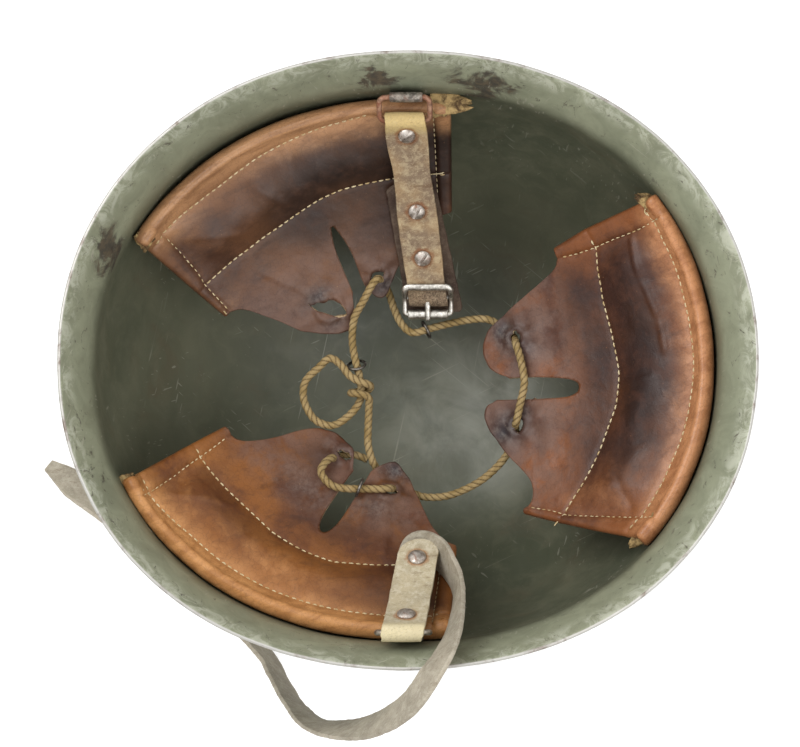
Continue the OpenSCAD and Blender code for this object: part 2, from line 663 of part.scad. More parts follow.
// Lace: one cord from its cut end under the left pad through all six holes to the knot,
// round the bow and back through the knot. Heights count from the lowest tongue tips
tongue_z = pad_z - pad_drop;
lace_route = [
    [-37, 20.5, -1], [-35, 26, -1], [-35, 31, 0.5], [-36.5, 34, 4], [-37, 35, 8], [-37, 35.5, 12.5],
    [-39, 38, 16], [-43, 40, 18], [-47, 38, 19], [-50, 34, 19.5], [-51, 28, 18.4], [-51, 20, 16.5], [-51, 14, 15],
    [-50.7, 10.5, 13.5], [-50.6, 9, 10.5], [-50.6, 8, 6.5], [-51, 6, 3], [-52, 1, 0], [-54, -6, -1],
    [-53, -17, -1], [-47, -30, 0], [-38, -40, 0], [-30, -44.5, 1], [-25, -46, 3.5], [-22.5, -46, 8],
    [-21, -46.5, 12], [-14, -48, 13.5], [-4, -50, 14], [6, -48.5, 13.8], [13, -46.5, 13], [15.5, -46, 8],
    [18, -45, 3.5], [22, -41, 0], [26, -34, -1], [26, -26, -1], [24, -16, 0], [22, -8, 0.5], [20, 0, 1],
    [24, 5, -0.5], [31, 8.5, -2.5], [37, 10.5, -1], [41.5, 12.5, 3], [43, 14, 8], [43, 15.5, 12],
    [40, 18, 12.5], [33, 22, 10], [26, 26, 7], [17, 27, 6], [9, 26, 6], [1, 24, 6], [-6, 23, 6], [-12, 24, 5],
    [-18, 29, 4], [-22, 36, 4], [-20, 43, 5], [-15, 47, 5], [-9, 49, 5], [-2, 48, 5], [4, 42, 6],
    [8, 37, 7], [5, 32, 8], [0, 28, 9.5], [-3, 23, 10.5], [-4, 19.5, 8.8], [-5, 18.8, 6], [-6, 20, 3],
    [-6.5, 23, 1.8], [-7, 26.5, 3], [-7.5, 27.6, 6], [-8, 26.5, 9], [-8.5, 23, 10.5], [-10, 19.5, 9],
    [-15, 19.5, 6.5], [-28, 20, 5], [-33, 19.5, 4.2], [-38, 18, 2.8], [-42, 16, 0.5], [-47, 14, -1]];
lace_sides = 8;

// One ring of points round each route point; the frame is carried along without turning
function frames(p, i = 0, f = [0, 0, 1]) = i >= len(p) ? []
    : let (t = unit(p[min(len(p) - 1, i + 1)] - p[max(0, i - 1)]), g = unit(f - (f * t) * t))
        concat([[t, g, cross(t, g)]], frames(p, i + 1, g));

module lace() {
    f = frames(lace_route);
    color("goldenrod") translate([0, 0, tongue_z]) tube_solid([for (i = [0:len(lace_route) - 1])
        [for (j = [0:lace_sides - 1]) let (a = 360 * j / lace_sides)
            lace_route[i] + lace_d / 2 * (cos(a) * f[i][1] + sin(a) * f[i][2])]]);
}

// Where the wire rings hang on the lace, and the directions of their axes
knot_ring_at = [5, 25, 5.6];
knot_ring_axis = [1, 0.15, 0.7];
right_ring_at = [21.5, -6, -0.5];
right_ring_axis = [-0.5, 1, 0.1];
left_ring_at = [-50.4, 23, 16.6];
left_ring_axis = [0.4, 1, 0.1];

module lace_ring(place, axis) {
    color("silver") translate([0, 0, tongue_z]) at(place, unit(axis))
        rotate_extrude() translate([(ring_d - ring_wire_d) / 2, 0]) circle(d = ring_wire_d, $fn = 16);
}

module knot_ring() { lace_ring(knot_ring_at, knot_ring_axis); }
module right_ring() { lace_ring(right_ring_at, right_ring_axis); }
module left_ring() { lace_ring(left_ring_at, left_ring_axis); }

shell();
liner_rivets();
pad_plate(0);  // front_pad_plate
pad_plate(1);  // right_pad_plate
pad_plate(2);  // left_pad_plate
pad_leather(0);  // front_pad_leather
pad_leather(1);  // right_pad_leather
pad_leather(2);  // left_pad_leather
pad_cushion(0);  // front_pad_cushion
pad_cushion(1);  // right_pad_cushion
pad_cushion(2);  // left_pad_cushion
pad_lining(0);  // front_pad_lining
pad_lining(1);  // right_pad_lining
pad_lining(2);  // left_pad_lining
right_bracket();
left_bracket();
right_wire_loop();
left_wire_loop();
buckle_strap();
buckle_guard();
buckle_screws();
buckle_frame();
buckle_roller();
buckle_prong();
long_strap_fold();
long_strap_rivets();
long_strap_run();
lace();
knot_ring();
right_ring();
left_ring();
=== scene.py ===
import bpy
import math
from mathutils import Matrix, Vector, noise


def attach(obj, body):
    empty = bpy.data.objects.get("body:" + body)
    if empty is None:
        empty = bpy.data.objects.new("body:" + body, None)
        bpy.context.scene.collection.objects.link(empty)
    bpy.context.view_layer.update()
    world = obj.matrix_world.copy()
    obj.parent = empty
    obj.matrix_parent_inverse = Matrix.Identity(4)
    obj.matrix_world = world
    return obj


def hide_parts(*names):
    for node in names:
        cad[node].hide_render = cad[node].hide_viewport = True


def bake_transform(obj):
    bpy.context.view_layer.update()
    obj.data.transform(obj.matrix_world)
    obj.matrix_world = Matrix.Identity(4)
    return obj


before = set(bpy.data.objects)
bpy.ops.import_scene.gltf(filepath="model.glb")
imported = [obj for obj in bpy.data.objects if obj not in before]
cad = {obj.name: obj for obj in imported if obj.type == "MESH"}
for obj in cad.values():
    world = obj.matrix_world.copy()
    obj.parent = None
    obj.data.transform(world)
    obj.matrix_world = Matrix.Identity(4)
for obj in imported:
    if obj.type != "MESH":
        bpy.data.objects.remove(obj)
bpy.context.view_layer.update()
MM = 0.001


# Camera

def stand_camera():
    """It looks down into the helmet, from a little to the back and to the wearer's left."""
    place, target = Vector((-0.100, -0.045, 1.160)), Vector((-0.007, 0.0015, 0.160))
    ahead = (target - place).normalized()
    right = ahead.cross(Vector((1, 0, 0))).normalized()
    up = right.cross(ahead)
    bpy.ops.object.camera_add()
    camera = bpy.context.object
    camera.matrix_world = Matrix((
        (right.x, up.x, -ahead.x, place.x), (right.y, up.y, -ahead.y, place.y),
        (right.z, up.z, -ahead.z, place.z), (0, 0, 0, 1)))
    camera.data.lens, camera.data.sensor_width = 109.8, 36
    camera.data.clip_start, camera.data.clip_end = 0.05, 20
    bpy.context.scene.camera = camera


stand_camera()


# Small tools

def sin(degrees):
    return math.sin(math.radians(degrees))


def cos(degrees):
    return math.cos(math.radians(degrees))


def lerp(a, b, t):
    return a + (b - a) * t


def smooth(a, b, x):
    """0 below a, 1 above b, and a soft step between."""
    t = min(1.0, max(0.0, (x - a) / (b - a)))
    return t * t * (3 - 2 * t)


def bump_at(x, centre, width):
    return math.exp(-((x - centre) / width) ** 2)


def ripple(x, y, z, size, seed=0.0):
    """Smooth noise from -1 to 1 with features of about that size, in mm."""
    return noise.noise(Vector((x / size + seed, y / size - seed, z / size + 2 * seed)))


def nothing_selected():
    bpy.ops.object.select_all(action="DESELECT")


def only(piece):
    nothing_selected()
    piece.select_set(True)
    bpy.context.view_layer.objects.active = piece


def on_whole_mesh(piece, *steps):
    """Runs mesh operators on all of a piece."""
    only(piece)
    bpy.ops.object.mode_set(mode="EDIT")
    bpy.ops.mesh.select_all(action="SELECT")
    for step in steps:
        step()
    bpy.ops.object.mode_set(mode="OBJECT")


def face_outward():
    bpy.ops.mesh.normals_make_consistent(inside=False)


def weld():
    bpy.ops.mesh.remove_doubles(threshold=1e-5)


def shade(piece, degrees):
    only(piece)
    bpy.ops.object.shade_smooth_by_angle(angle=math.radians(degrees))


def finished(piece, degrees, body, slot, *nodes):
    """Shades a piece up to an edge angle and puts it on its body, in place of its CAD nodes."""
    shade(piece, degrees)
    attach(piece, body)
    if nodes:
        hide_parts(*nodes)
    return piece


def sheet_from(name, across, along, place):
    """A grid primitive laid out by place(x, y), both from -1 to 1, in mm."""
    nothing_selected()
    bpy.ops.mesh.primitive_grid_add(x_subdivisions=across, y_subdivisions=along, size=2)
    piece = bpy.context.object
    piece.name = piece.data.name = name
    for v in piece.data.vertices:
        v.co = place(v.co.x, v.co.y) * MM
    return piece


def thicken(piece, thickness):
    m = piece.modifiers.new("wall", "SOLIDIFY")
    m.thickness, m.offset, m.use_even_offset = thickness * MM, 0.0, False
    return m


def mesh_piece(name, points, faces):
    """A piece from points in mm."""
    mesh = bpy.data.meshes.new(name)
    mesh.from_pydata([p * MM for p in points], [], faces)
    piece = bpy.data.objects.new(name, mesh)
    bpy.context.scene.collection.objects.link(piece)
    return piece


def tube_faces(first, count, n, closed=False):
    """Faces through rings of n points from that vertex on, capped at both ends or closed on itself."""
    faces = []
    for i in range(count if closed else count - 1):
        a, b = first + i * n, first + (i + 1) % count * n
        faces += [(a + j, a + (j + 1) % n, b + (j + 1) % n, b + j) for j in range(n)]
    if not closed:
        last = first + (count - 1) * n
        faces += [tuple(range(first + n - 1, first - 1, -1)), tuple(range(last, last + n))]
    return faces


def loft(name, rings, closed=False):
    """A skin through rings of points in mm."""
    points = [p for ring in rings for p in ring]
    piece = mesh_piece(name, points, tube_faces(0, len(rings), len(rings[0]), closed))
    on_whole_mesh(piece, face_outward)
    return piece


def join_lofts(name, tubes):
    """One mesh of many tubes, each a list of rings of points in mm."""
    points, faces = [], []
    for rings in tubes:
        faces += tube_faces(len(points), len(rings), len(rings[0]))
        points += [p for ring in rings for p in ring]
    piece = mesh_piece(name, points, faces)
    on_whole_mesh(piece, face_outward)
    return piece


def oval(centre, f, g, a, b=None, sides=12):
    """A ring of points round a centre, a away along f and b along g."""
    b = a if b is None else b
    return [centre + a * cos(360 * j / sides) * f + b * sin(360 * j / sides) * g for j in range(sides)]


def rounded_frame(corners, step):
    """A closed line of points a step apart, round corners given by centre, radius and first angle."""
    line = [(x + r * cos(first + 11.25 * i), y + r * sin(first + 11.25 * i))
            for x, y, r, first in corners for i in range(9)]
    dense = []
    for (x0, y0), (x1, y1) in zip(line, line[1:] + line[:1]):
        count = max(1, round(math.hypot(x1 - x0, y1 - y0) / step))
        dense += [(lerp(x0, x1, k / count), lerp(y0, y1, k / count)) for k in range(count)]
    return dense


def store(piece, name, values):
    """Keeps one number per vertex on the mesh for a finish to read."""
    layer = piece.data.attributes.new(name, "FLOAT", "POINT")
    layer.data.foreach_set("value", [float(v) for v in values])


def curve_through(points, step):
    """Points about a step apart on a smooth curve through the given ones."""
    out = []
    for i in range(len(points) - 1):
        a, b, c, d = (points[max(0, i - 1)], points[i], points[i + 1], points[min(len(points) - 1, i + 2)])
        count = max(1, round((c - b).length / step))
        for j in range(count):
            t = j / count
            out.append(0.5 * (2 * b + (c - a) * t + (2 * a - 5 * b + 4 * c - d) * t * t
                              + (3 * b - a - 3 * c + d) * t ** 3))
    out.append(points[-1].copy())
    return out


def carried_frames(path, first=Vector((0, 0, 1))):
    """A way along and two ways across at each point of a path, carried on without turning."""
    frames, f = [], first
    for i in range(len(path)):
        t = (path[min(len(path) - 1, i + 1)] - path[max(0, i - 1)]).normalized()
        f = (f - f.dot(t) * t).normalized()
        frames.append((t, f, t.cross(f)))
    return frames


def paint(piece, *materials):
    piece.data.materials.clear()
    for m in materials:
        piece.data.materials.append(m)


# Lace

LACE_ROUTE = [
    (-37, 20.5, 66), (-35, 26, 66), (-35, 31, 67.5), (-36.5, 34, 71), (-37, 35, 75), (-37, 35.5, 79.5),
    (-39, 38, 83), (-43, 40, 85), (-47, 38, 86), (-50, 34, 86.5), (-51, 28, 85.4), (-51, 20, 83.5),
    (-51, 14, 82), (-50.7, 10.5, 80.5), (-50.6, 9, 77.5), (-50.6, 8, 73.5), (-51, 6, 70), (-52, 1, 67),
    (-54, -6, 66), (-53, -17, 66), (-47, -30, 67), (-38, -40, 67), (-30, -44.5, 68), (-25, -46, 70.5),
    (-22.5, -46, 75), (-21, -46.5, 79), (-14, -48, 80.5), (-4, -50, 81), (6, -48.5, 80.8), (13, -46.5, 80),
    (15.5, -46, 75), (18, -45, 70.5), (22, -41, 67), (26, -34, 66), (26, -26, 66), (24, -16, 67),
    (22, -8, 67.5), (20, 0, 68), (24, 5, 66.5), (31, 8.5, 64.5), (37, 10.5, 66), (41.5, 12.5, 70),
    (43, 14, 75), (43, 15.5, 79), (40, 18, 79.5), (33, 22, 77), (26, 26, 74), (17, 27, 73), (9, 26, 73),
    (1, 24, 73), (-6, 23, 73), (-12, 24, 72), (-18, 29, 71), (-22, 36, 71), (-20, 43, 72), (-15, 47, 72),
    (-9, 49, 72), (-2, 48, 72), (4, 42, 73), (8, 37, 74), (5, 32, 75), (0, 28, 76.5), (-3, 23, 77.5),
    (-4, 19.5, 75.8), (-5, 18.8, 73), (-6, 20, 70), (-6.5, 23, 68.8), (-7, 26.5, 70), (-7.5, 27.6, 73),
    (-8, 26.5, 76), (-8.5, 23, 77.5), (-10, 19.5, 76), (-15, 19.5, 73.5), (-28, 20, 72), (-33, 19.5, 71.2),
    (-38, 18, 69.8), (-42, 16, 67.5), (-47, 14, 66)]
LACE_D, RING_R, RING_WIRE_R = 3.5, 3.85, 0.65


def make_lace():
    """Three twisted strands laid up as one cord, threaded through the six holes."""
    path = curve_through([Vector(p) for p in LACE_ROUTE], 0.75)
    sides, strands, lay = 24, 3, 9.0
    rings, twist, gone = [], [], 0.0
    for i, (_, f, g) in enumerate(carried_frames(path)):
        gone += (path[i] - path[i - 1]).length if i else 0.0
        turn = 360 * gone / lay
        ring = []
        for j in range(sides):
            a = 360 * j / sides
            strand = abs(cos((a - turn) * strands / 2)) ** 0.7
            r = LACE_D / 2 * (0.80 + 0.2 * strand)
            ring.append(path[i] + r * (cos(a) * f + sin(a) * g))
            twist.append(strand)
        rings.append(ring)
    piece = loft("Lace", rings)
    store(piece, "strand", twist)
    finished(piece, 80, "helmet", "lace_cord", "lace")
    length = sum((b - a).length for a, b in zip(path, path[1:]))
    return piece


lace = make_lace()


# Shell form, in mm. A bearing is counted in degrees from the front toward the wearer's right

SHELL_L, SHELL_W, SHELL_H, WALL = 288, 257, 160, 1.5
FLARE_W, VISOR_W, BROW_IN, VISOR_RISE = 9.5, 2.4, 1.5, 8
RIM_N, DOME_N, FLARE_N = 2.1, 2.2, 1.7
BROW_Z, CROWN_FLAT_R = 128, 12
# Length of the skirt along its slope, and a length that counts as far from the rim
SKIRT_L, FAR = 34, 150


def toward(b):
    return Vector((sin(b), -cos(b), 0))


def at_front(b):
    return max(0.0, cos(b)) ** 2


def outline_r(b):
    return ((abs(sin(b)) / (SHELL_W / 2)) ** RIM_N + (abs(cos(b)) / (SHELL_L / 2)) ** RIM_N) ** (-1 / RIM_N)


def dome_r(b):
    return outline_r(b) - FLARE_W - BROW_IN * at_front(b)


def rim_r(b):
    return outline_r(b) + VISOR_W * at_front(b)


def rim_z(b):
    return SHELL_H - VISOR_RISE * at_front(b)


DOME_START = math.degrees(math.asin((CROWN_FLAT_R / dome_r(90)) ** (DOME_N / 2)))
CROWN_CUT = BROW_Z * (1 - cos(DOME_START) ** (2 / DOME_N))


def meridian(b, u):
    """Radius and height of the outside: u is 0 at the crown, 1 at the brow and 2 at the rim."""
    if u <= 1:
        t = lerp(DOME_START, 90, u)
        return dome_r(b) * sin(t) ** (2 / DOME_N), BROW_Z * (1 - max(0.0, cos(t)) ** (2 / DOME_N)) - CROWN_CUT
    return (lerp(dome_r(b), rim_r(b), (u - 1) ** FLARE_N), lerp(BROW_Z - CROWN_CUT, rim_z(b), u - 1))


def meridian_normal(b, u):
    (r0, z0), (r1, z1) = meridian(b, max(0, u - 0.01)), meridian(b, min(2, u + 0.01))
    length = math.hypot(r1 - r0, z1 - z0)
    return (z1 - z0) / length, (r0 - r1) / length


def outer_r(b, z):
    if z <= BROW_Z - CROWN_CUT:
        return dome_r(b) * (1 - (1 - (z + CROWN_CUT) / BROW_Z) ** DOME_N) ** (1 / DOME_N)
    low = BROW_Z - CROWN_CUT
    return lerp(dome_r(b), rim_r(b), ((z - low) / (rim_z(b) - low)) ** FLARE_N)


def inner_r(b, z):
    return outer_r(b, z) - WALL


def make_shell():
    """The pressed steel shell, slightly uneven, with a rounded raw edge."""
    sides, dome_rows, flare_rows = 256, 62, 26
    steps = [i / dome_rows for i in range(dome_rows)] + [1 + i / flare_rows for i in range(flare_rows + 1)]
    rings, from_rim = [], []

    def uneven(b, r, z):
        p = r * toward(b)
        return 0.35 * ripple(p.x, p.y, z, 38, 2) + 0.12 * ripple(p.x, p.y, z, 11, 5)

    def ring(u, depth, drop=0.0):
        row = []
        for j in range(sides):
            b = 360 * j / sides
            r, z = meridian(b, u)
            nr, nz = meridian_normal(b, u)
            d = depth - uneven(b, r, z)
            row.append((r - d * nr) * toward(b) + Vector((0, 0, z - d * nz - drop)))
            from_rim.append((2 - u) * SKIRT_L + drop)
        rings.append(row)

    def crown(r, z):
        rings.append([r * toward(360 * j / sides) + Vector((0, 0, z)) for j in range(sides)])
        from_rim.extend([FAR] * sides)

    for r in (0.4, 4, 8):
        crown(r, 0)
    for u in steps[:-1]:
        ring(u, 0)
    ring(2, 0, 0.35)
    ring(2, 0.3, 0.05)
    ring(2, WALL / 2, -0.1)
    ring(2, WALL - 0.3, 0.05)
    ring(2, WALL, 0.35)
    for u in reversed(steps[:-1]):
        ring(u, WALL)
    for r in (8, 4, 0.4):
        crown(r, WALL)
    piece = loft("Steel_dome", rings)
    store(piece, "from_rim", from_rim)
    return finished(piece, 50, "helmet", "shell", "shell")


# Pads, in mm. s runs from -1 to 1 along a pad, v from 0 at the outer edge to 1 at the tongue tips

PAD_Z, PAD_DROP, ROLL_R, LEATHER_T, SKIN_MID, EDGE_IN = 124, 57, 3.0, 1.8, 1.5, 7.2
PAD_HALF_W, TIP_HALF, PAD_LENGTH = 76, 40, 100
# Half the width of a pad's plate, and how far the middle of its rolled edge is pressed toward the wall
PLATE_HALF_W, PRESSED = 73.5, 1.3
# Length of the leather over the rolled edge
ROLL_L = 9.4
STITCH_PITCH, STITCH_L = 3.1, 2.3
# Room between the wall and the middle of the leather, radius of a hem's bend and of the widest punched hole
WALL_ROOM, HEM_R, WIDEST_HOLE = 1.3, 1.2, 4
# From the wall to the middle of a plate
OFF_WALL = 2.3


def along_line(points, x):
    """Height of a line of (x, y) points at x, level past its ends."""
    if x <= points[0][0]:
        return points[0][1]
    for (x0, y0), (x1, y1) in zip(points, points[1:]):
        if x <= x1:
            return lerp(y0, y1, (x - x0) / (x1 - x0))
    return points[-1][1]


def softly(points, x, reach):
    """The same with its corners rounded."""
    return sum(along_line(points, x + reach * i) for i in (-1, -0.5, 0, 0.5, 1)) / 5


class Pad:
    """One pad of the liner, its lines, holes and stains traced as (s, v) places.

    width_at is the bearing where the dome's radius turns the pad's width into an angle. outset says how far
    the rolled edge is pressed to the wall, most at the ends, which curl up. A hole is (s, v, radius), a
    crease (s, v, s, v, height, width), and a tail a place and the points of a loose thread from there."""

    def __init__(self, word, bearing, width_at, tip_r, tip_shift, **traced):
        self.word, self.bearing, self.tip_r, self.tip_shift = word, bearing, tip_r, tip_shift
        self.half = math.degrees(math.asin(PLATE_HALF_W / dome_r(width_at)))
        self.seed = bearing / 10
        self.torn = []
        vars(self).update(traced)

    def edge(self, s):
        b = self.bearing + self.half * s
        out = along_line(self.outset, s)
        z = PAD_Z + max(0.0, out - PRESSED)
        return (inner_r(b, z) - EDGE_IN + out) * toward(b) + Vector((0, 0, z))

    def tip(self, s):
        ahead, aside = toward(self.bearing), toward(self.bearing + 90)
        return self.tip_r * ahead + (self.tip_shift + TIP_HALF * s) * aside + Vector((0, 0, PAD_Z))

    def base(self, s, v):
        return self.edge(s).lerp(self.tip(s), v) - Vector((0, 0, PAD_DROP * max(0.0, v) ** 0.75))

    def normal(self, s, v):
        w = max(v, 0.004)
        a = self.base(s + 0.01, v) - self.base(s - 0.01, v)
        return a.cross(self.base(s, w + 0.003) - self.base(s, w - 0.003)).normalized()

    def flat(self, s, v):
        """Place in mm as the leather would lie flat."""
        return s * lerp(PAD_HALF_W, TIP_HALF, v), v * PAD_LENGTH

    def length_at(self, s):
        return softly(self.outline, s, 0.03)

    def hem(self, s, v):
        """How far past the nearer hem stitching a place lies, in mm."""
        across = lerp(PAD_HALF_W, TIP_HALF, v)
        return max((s - along_line(self.high_hem, v)) * across, (along_line(self.low_hem, v) - s) * across)

    def lift(self, s, v):
        """Height of the middle of the leather over the base surface."""
        x, y = self.flat(s, v)
        upper, lower = along_line(self.stitch_1, s), along_line(self.stitch_2, s)
        h = SKIN_MID
        hem = self.hem(s, v)
        if upper < v < lower:
            share = (v - upper) / (lower - upper)
            ends = smooth(0, -16, hem)
            full = sin(180 * share) ** 1.1 * ends
            h += full * (4.4 + 0.9 * ripple(x, y, self.seed, 22, 3) + 0.35 * ripple(x, y, self.seed, 8, 9))
        for line, depth in ((upper, 0.6), (lower, 0.35)):
            h -= depth * bump_at((v - line) * PAD_LENGTH, 0, 1.2)
        loose = smooth(0.4, 0.75, v)
        h += (0.18 + 0.5 * loose) * ripple(x, y, self.seed, 12, 1) + 0.1 * ripple(x, y, self.seed, 4, 7)
        for (hs, hv, r) in self.holes:
            hx, hy = self.flat(hs, hv)
            d = math.hypot(x - hx, y - hy)
            turn = math.degrees(math.atan2(y - hy, x - hx))
            h += 0.9 * bump_at(d, r + 1.2, 1.6)
            h += 0.45 * cos(5 * turn + 40 * hs) * bump_at(d, r + 6, 4.5)
        for (s0, v0, s1, v1, height, width) in self.creases:
            (ax, ay), (bx, by) = self.flat(s0, v0), self.flat(s1, v1)
            length = math.hypot(bx - ax, by - ay)
            t = ((x - ax) * (bx - ax) + (y - ay) * (by - ay)) / length ** 2
            d = abs((x - ax) * (by - ay) - (y - ay) * (bx - ax)) / length
            h += height * bump_at(d, 0, width) * smooth(-0.1, 0.2, t) * smooth(1.1, 0.8, t)
        return h + 0.9 * smooth(0, 1.6, hem) - 0.5 * bump_at(hem, 0, 0.9)

    def cover(self, spots, x, y):
        """How far soft spots cover a flat place; a spot is (s, v, reach across, reach down, strength)."""
        rest = 1.0
        for s, v, across, down, strength in spots:
            cx, cy = self.flat(s, v)
            rest *= 1 - strength * math.exp(-((x - cx) / across) ** 2 - ((y - cy) / down) ** 2)
        return 1 - rest

    def skin(self, s, v, over=0.0):
        n = self.normal(s, v)
        return self.base(s, v) + (self.lift(s, v) + over) * n, n


FRONT = Pad(
    "front", 0, 33, 33, -4,
    outset=[(-1, 2.2), (-0.6, PRESSED), (0.4, PRESSED), (0.75, 2.2), (1, 4.0)],
    tails=[(0.93, 0.03, [(1.5, 1.0, 1.2), (4, -0.5, 1.4), (6, -3, 0.6)]),
           (-1.19, 0.45, [(-0.6, 0.6, 0.8), (-1.6, 1.4, 0.6)])],
    outline=[(-1.25, 0.7), (-1.19, 0.69), (-1.1, 0.665), (-1.0, 0.685), (-0.9, 0.72), (-0.83, 0.785),
             (-0.76, 0.85), (-0.64, 0.912), (-0.52, 0.968), (-0.37, 1.0), (-0.26, 0.995), (-0.19, 0.97),
             (-0.165, 0.9), (0.04, 0.86), (0.1, 0.93), (0.18, 0.975), (0.34, 1.004), (0.46, 1.004),
             (0.61, 0.976), (0.69, 0.907), (0.79, 0.785), (0.86, 0.655), (0.9, 0.565), (1.0, 0.535)],
    low_end=[(0, -1.06), (1, -1.26)], high_end=[(0, 0.975), (0.35, 1.03), (1, 1.03)],
    low_hem=[(-0.03, -0.93), (0.08, -0.97), (0.24, -1.03), (0.43, -1.11), (0.53, -1.12), (0.69, -1.17)],
    high_hem=[(0, 0.88), (0.12, 0.88), (0.23, 0.9), (0.34, 0.91), (0.43, 0.93), (0.53, 0.97)],
    stitch_1=[(-1.1, 0.055), (-0.95, 0.055), (-0.6, 0.048), (-0.4, 0.037), (0, 0.025), (0.35, 0.03),
              (0.6, 0.025)],
    stitch_2=[(-1, 0.45), (-0.77, 0.424), (-0.58, 0.404), (-0.41, 0.392), (-0.23, 0.367), (0, 0.359),
              (0.2, 0.376), (0.39, 0.386), (0.54, 0.391), (0.77, 0.367), (0.91, 0.334)],
    slot=[(-0.165, 1.1), (-0.17, 0.82), (-0.165, 0.65), (-0.155, 0.585), (-0.125, 0.552), (-0.085, 0.543),
          (-0.045, 0.552), (-0.015, 0.585), (0.01, 0.65), (0.05, 0.82), (0.05, 1.1)],
    holes=[(0.43, 0.835, 3.0), (-0.42, 0.825, 3.0)],
    dark=[(0.05, 0.22, 58, 15, 1.0), (-0.35, 0.24, 26, 12, 0.8), (0.55, 0.25, 18, 11, 0.6),
          (0.5, 0.84, 9, 9, 0.7), (-0.42, 0.84, 9, 9, 0.7), (0.1, 0.45, 34, 11, 0.85),
          (0.6, 0.5, 20, 12, 0.6), (-0.5, 0.46, 18, 9, 0.5)],
    tan=[(-0.95, 0.12, 14, 16, 0.8), (-0.8, 0.3, 16, 10, 0.4), (0.85, 0.1, 8, 12, 0.3),
         (-0.95, 0.4, 8, 14, 0.5)],
    stain=[(0.52, 0.9, 7, 6, 0.9), (-0.5, 0.9, 7, 7, 0.9), (0.3, 0.8, 7, 7, 0.5), (-0.3, 0.8, 6, 6, 0.5)],
    creases=[(0.86, 0.154, 0.58, 0.166, 0.9, 1.3), (0.58, 0.166, 0.3, 0.137, 0.9, 1.3),
             (0.3, 0.137, 0.07, 0.128, 0.8, 1.3), (-0.05, 0.16, -0.1, 0.34, 0.5, 1.5),
             (-0.95, 0.1, -0.7, 0.28, -0.5, 1.6)])
RIGHT = Pad(
    "right", 118.8, 118.8, 33, 5.3,
    outset=[(-1, 0.4), (0.6, 0.4), (1, 1.6)],
    tails=[(-0.9, 0.0, [(0.4, -2, 1), (-1.0, -4.5, 1.4), (0.4, -7, 1.2)]),
           (-0.9, 0.34, [(0, -2.5, 1), (0.3, -5.5, 1.6), (1.8, -6.6, 1.2)]),
           (0.98, 0.52, [(-1.6, 0.6, 0.6), (-3.0, -0.6, 0.4)])],
    torn=[(0.45, 0.765), (0.41, 0.8), (0.36, 0.792), (0.31, 0.812), (0.26, 0.806), (0.20, 0.825),
          (0.17, 0.87), (0.165, 0.925), (0.22, 0.918), (0.30, 0.898), (0.36, 0.862), (0.42, 0.825)],
    outline=[(-1.1, 0.58), (-1.02, 0.58), (-0.92, 0.6), (-0.8, 0.66), (-0.62, 0.75), (-0.45, 0.84),
             (-0.31, 0.92), (-0.23, 0.93), (-0.15, 0.89), (-0.11, 0.80), (0, 0.80), (0.04, 0.86),
             (0.1, 0.93), (0.15, 0.985), (0.21, 1.0), (0.35, 0.989), (0.53, 0.938), (0.67, 0.869),
             (0.75, 0.769), (0.83, 0.679), (0.87, 0.619), (0.92, 0.574), (1.0, 0.55), (1.1, 0.55)],
    low_end=[(0, -1.03), (1, -1.03)], high_end=[(0, 0.98), (1, 1.02)],
    low_hem=[(0, -0.95), (0.6, -0.95)],
    high_hem=[(0.06, 0.89), (0.18, 0.9), (0.29, 0.92), (0.36, 0.95), (0.42, 0.96), (0.54, 0.98)],
    stitch_1=[(-0.9, -0.01), (-0.6, -0.007), (-0.4, 0.013), (-0.1, 0.03), (0, 0.038), (0.17, 0.046),
              (0.31, 0.057), (0.46, 0.064), (0.61, 0.057), (0.8, 0.04), (0.94, 0.031)],
    stitch_2=[(-0.9, 0.34), (-0.5, 0.337), (-0.22, 0.334), (-0.06, 0.343), (0.11, 0.362), (0.28, 0.376),
              (0.55, 0.38), (0.83, 0.37), (0.95, 0.361)],
    slot=[(-0.06, 0.475), (-0.035, 0.52), (-0.005, 0.6), (0.005, 0.7), (0.02, 0.85), (0.03, 1.1),
          (-0.12, 1.1), (-0.115, 0.8), (-0.125, 0.68), (-0.115, 0.6), (-0.085, 0.52)],
    holes=[(-0.27, 0.81, 3.0), (0.3, 0.85, 4.5)],
    dark=[(-0.2, 0.22, 34, 14, 1.0), (-0.75, 0.28, 30, 30, 1.0), (-1.0, 0.15, 12, 40, 1.0),
          (0.15, 0.3, 16, 12, 0.6), (-0.45, 0.6, 20, 16, 0.6), (0.1, 0.42, 40, 10, 0.6),
          (0.05, 0.48, 10, 10, 0.6), (0.6, 0.2, 20, 10, 0.35)],
    tan=[(0.2, 0.0, 60, 8, 0.9), (0.75, 0.06, 16, 8, 0.5), (-0.4, 0.0, 30, 6, 0.7), (0.95, 0.5, 6, 10, 0.5)],
    stain=[(0.33, 0.77, 7, 5, 0.9), (-0.3, 0.87, 8, 6, 0.8), (0.3, 0.93, 7, 4, 0.5)],
    creases=[(0.85, 0.1, 0.5, 0.3, 0.4, 1.4), (0.3, 0.12, 0.15, 0.3, 0.5, 1.5),
             (0.6, 0.5, 0.4, 0.72, 0.4, 1.4)])
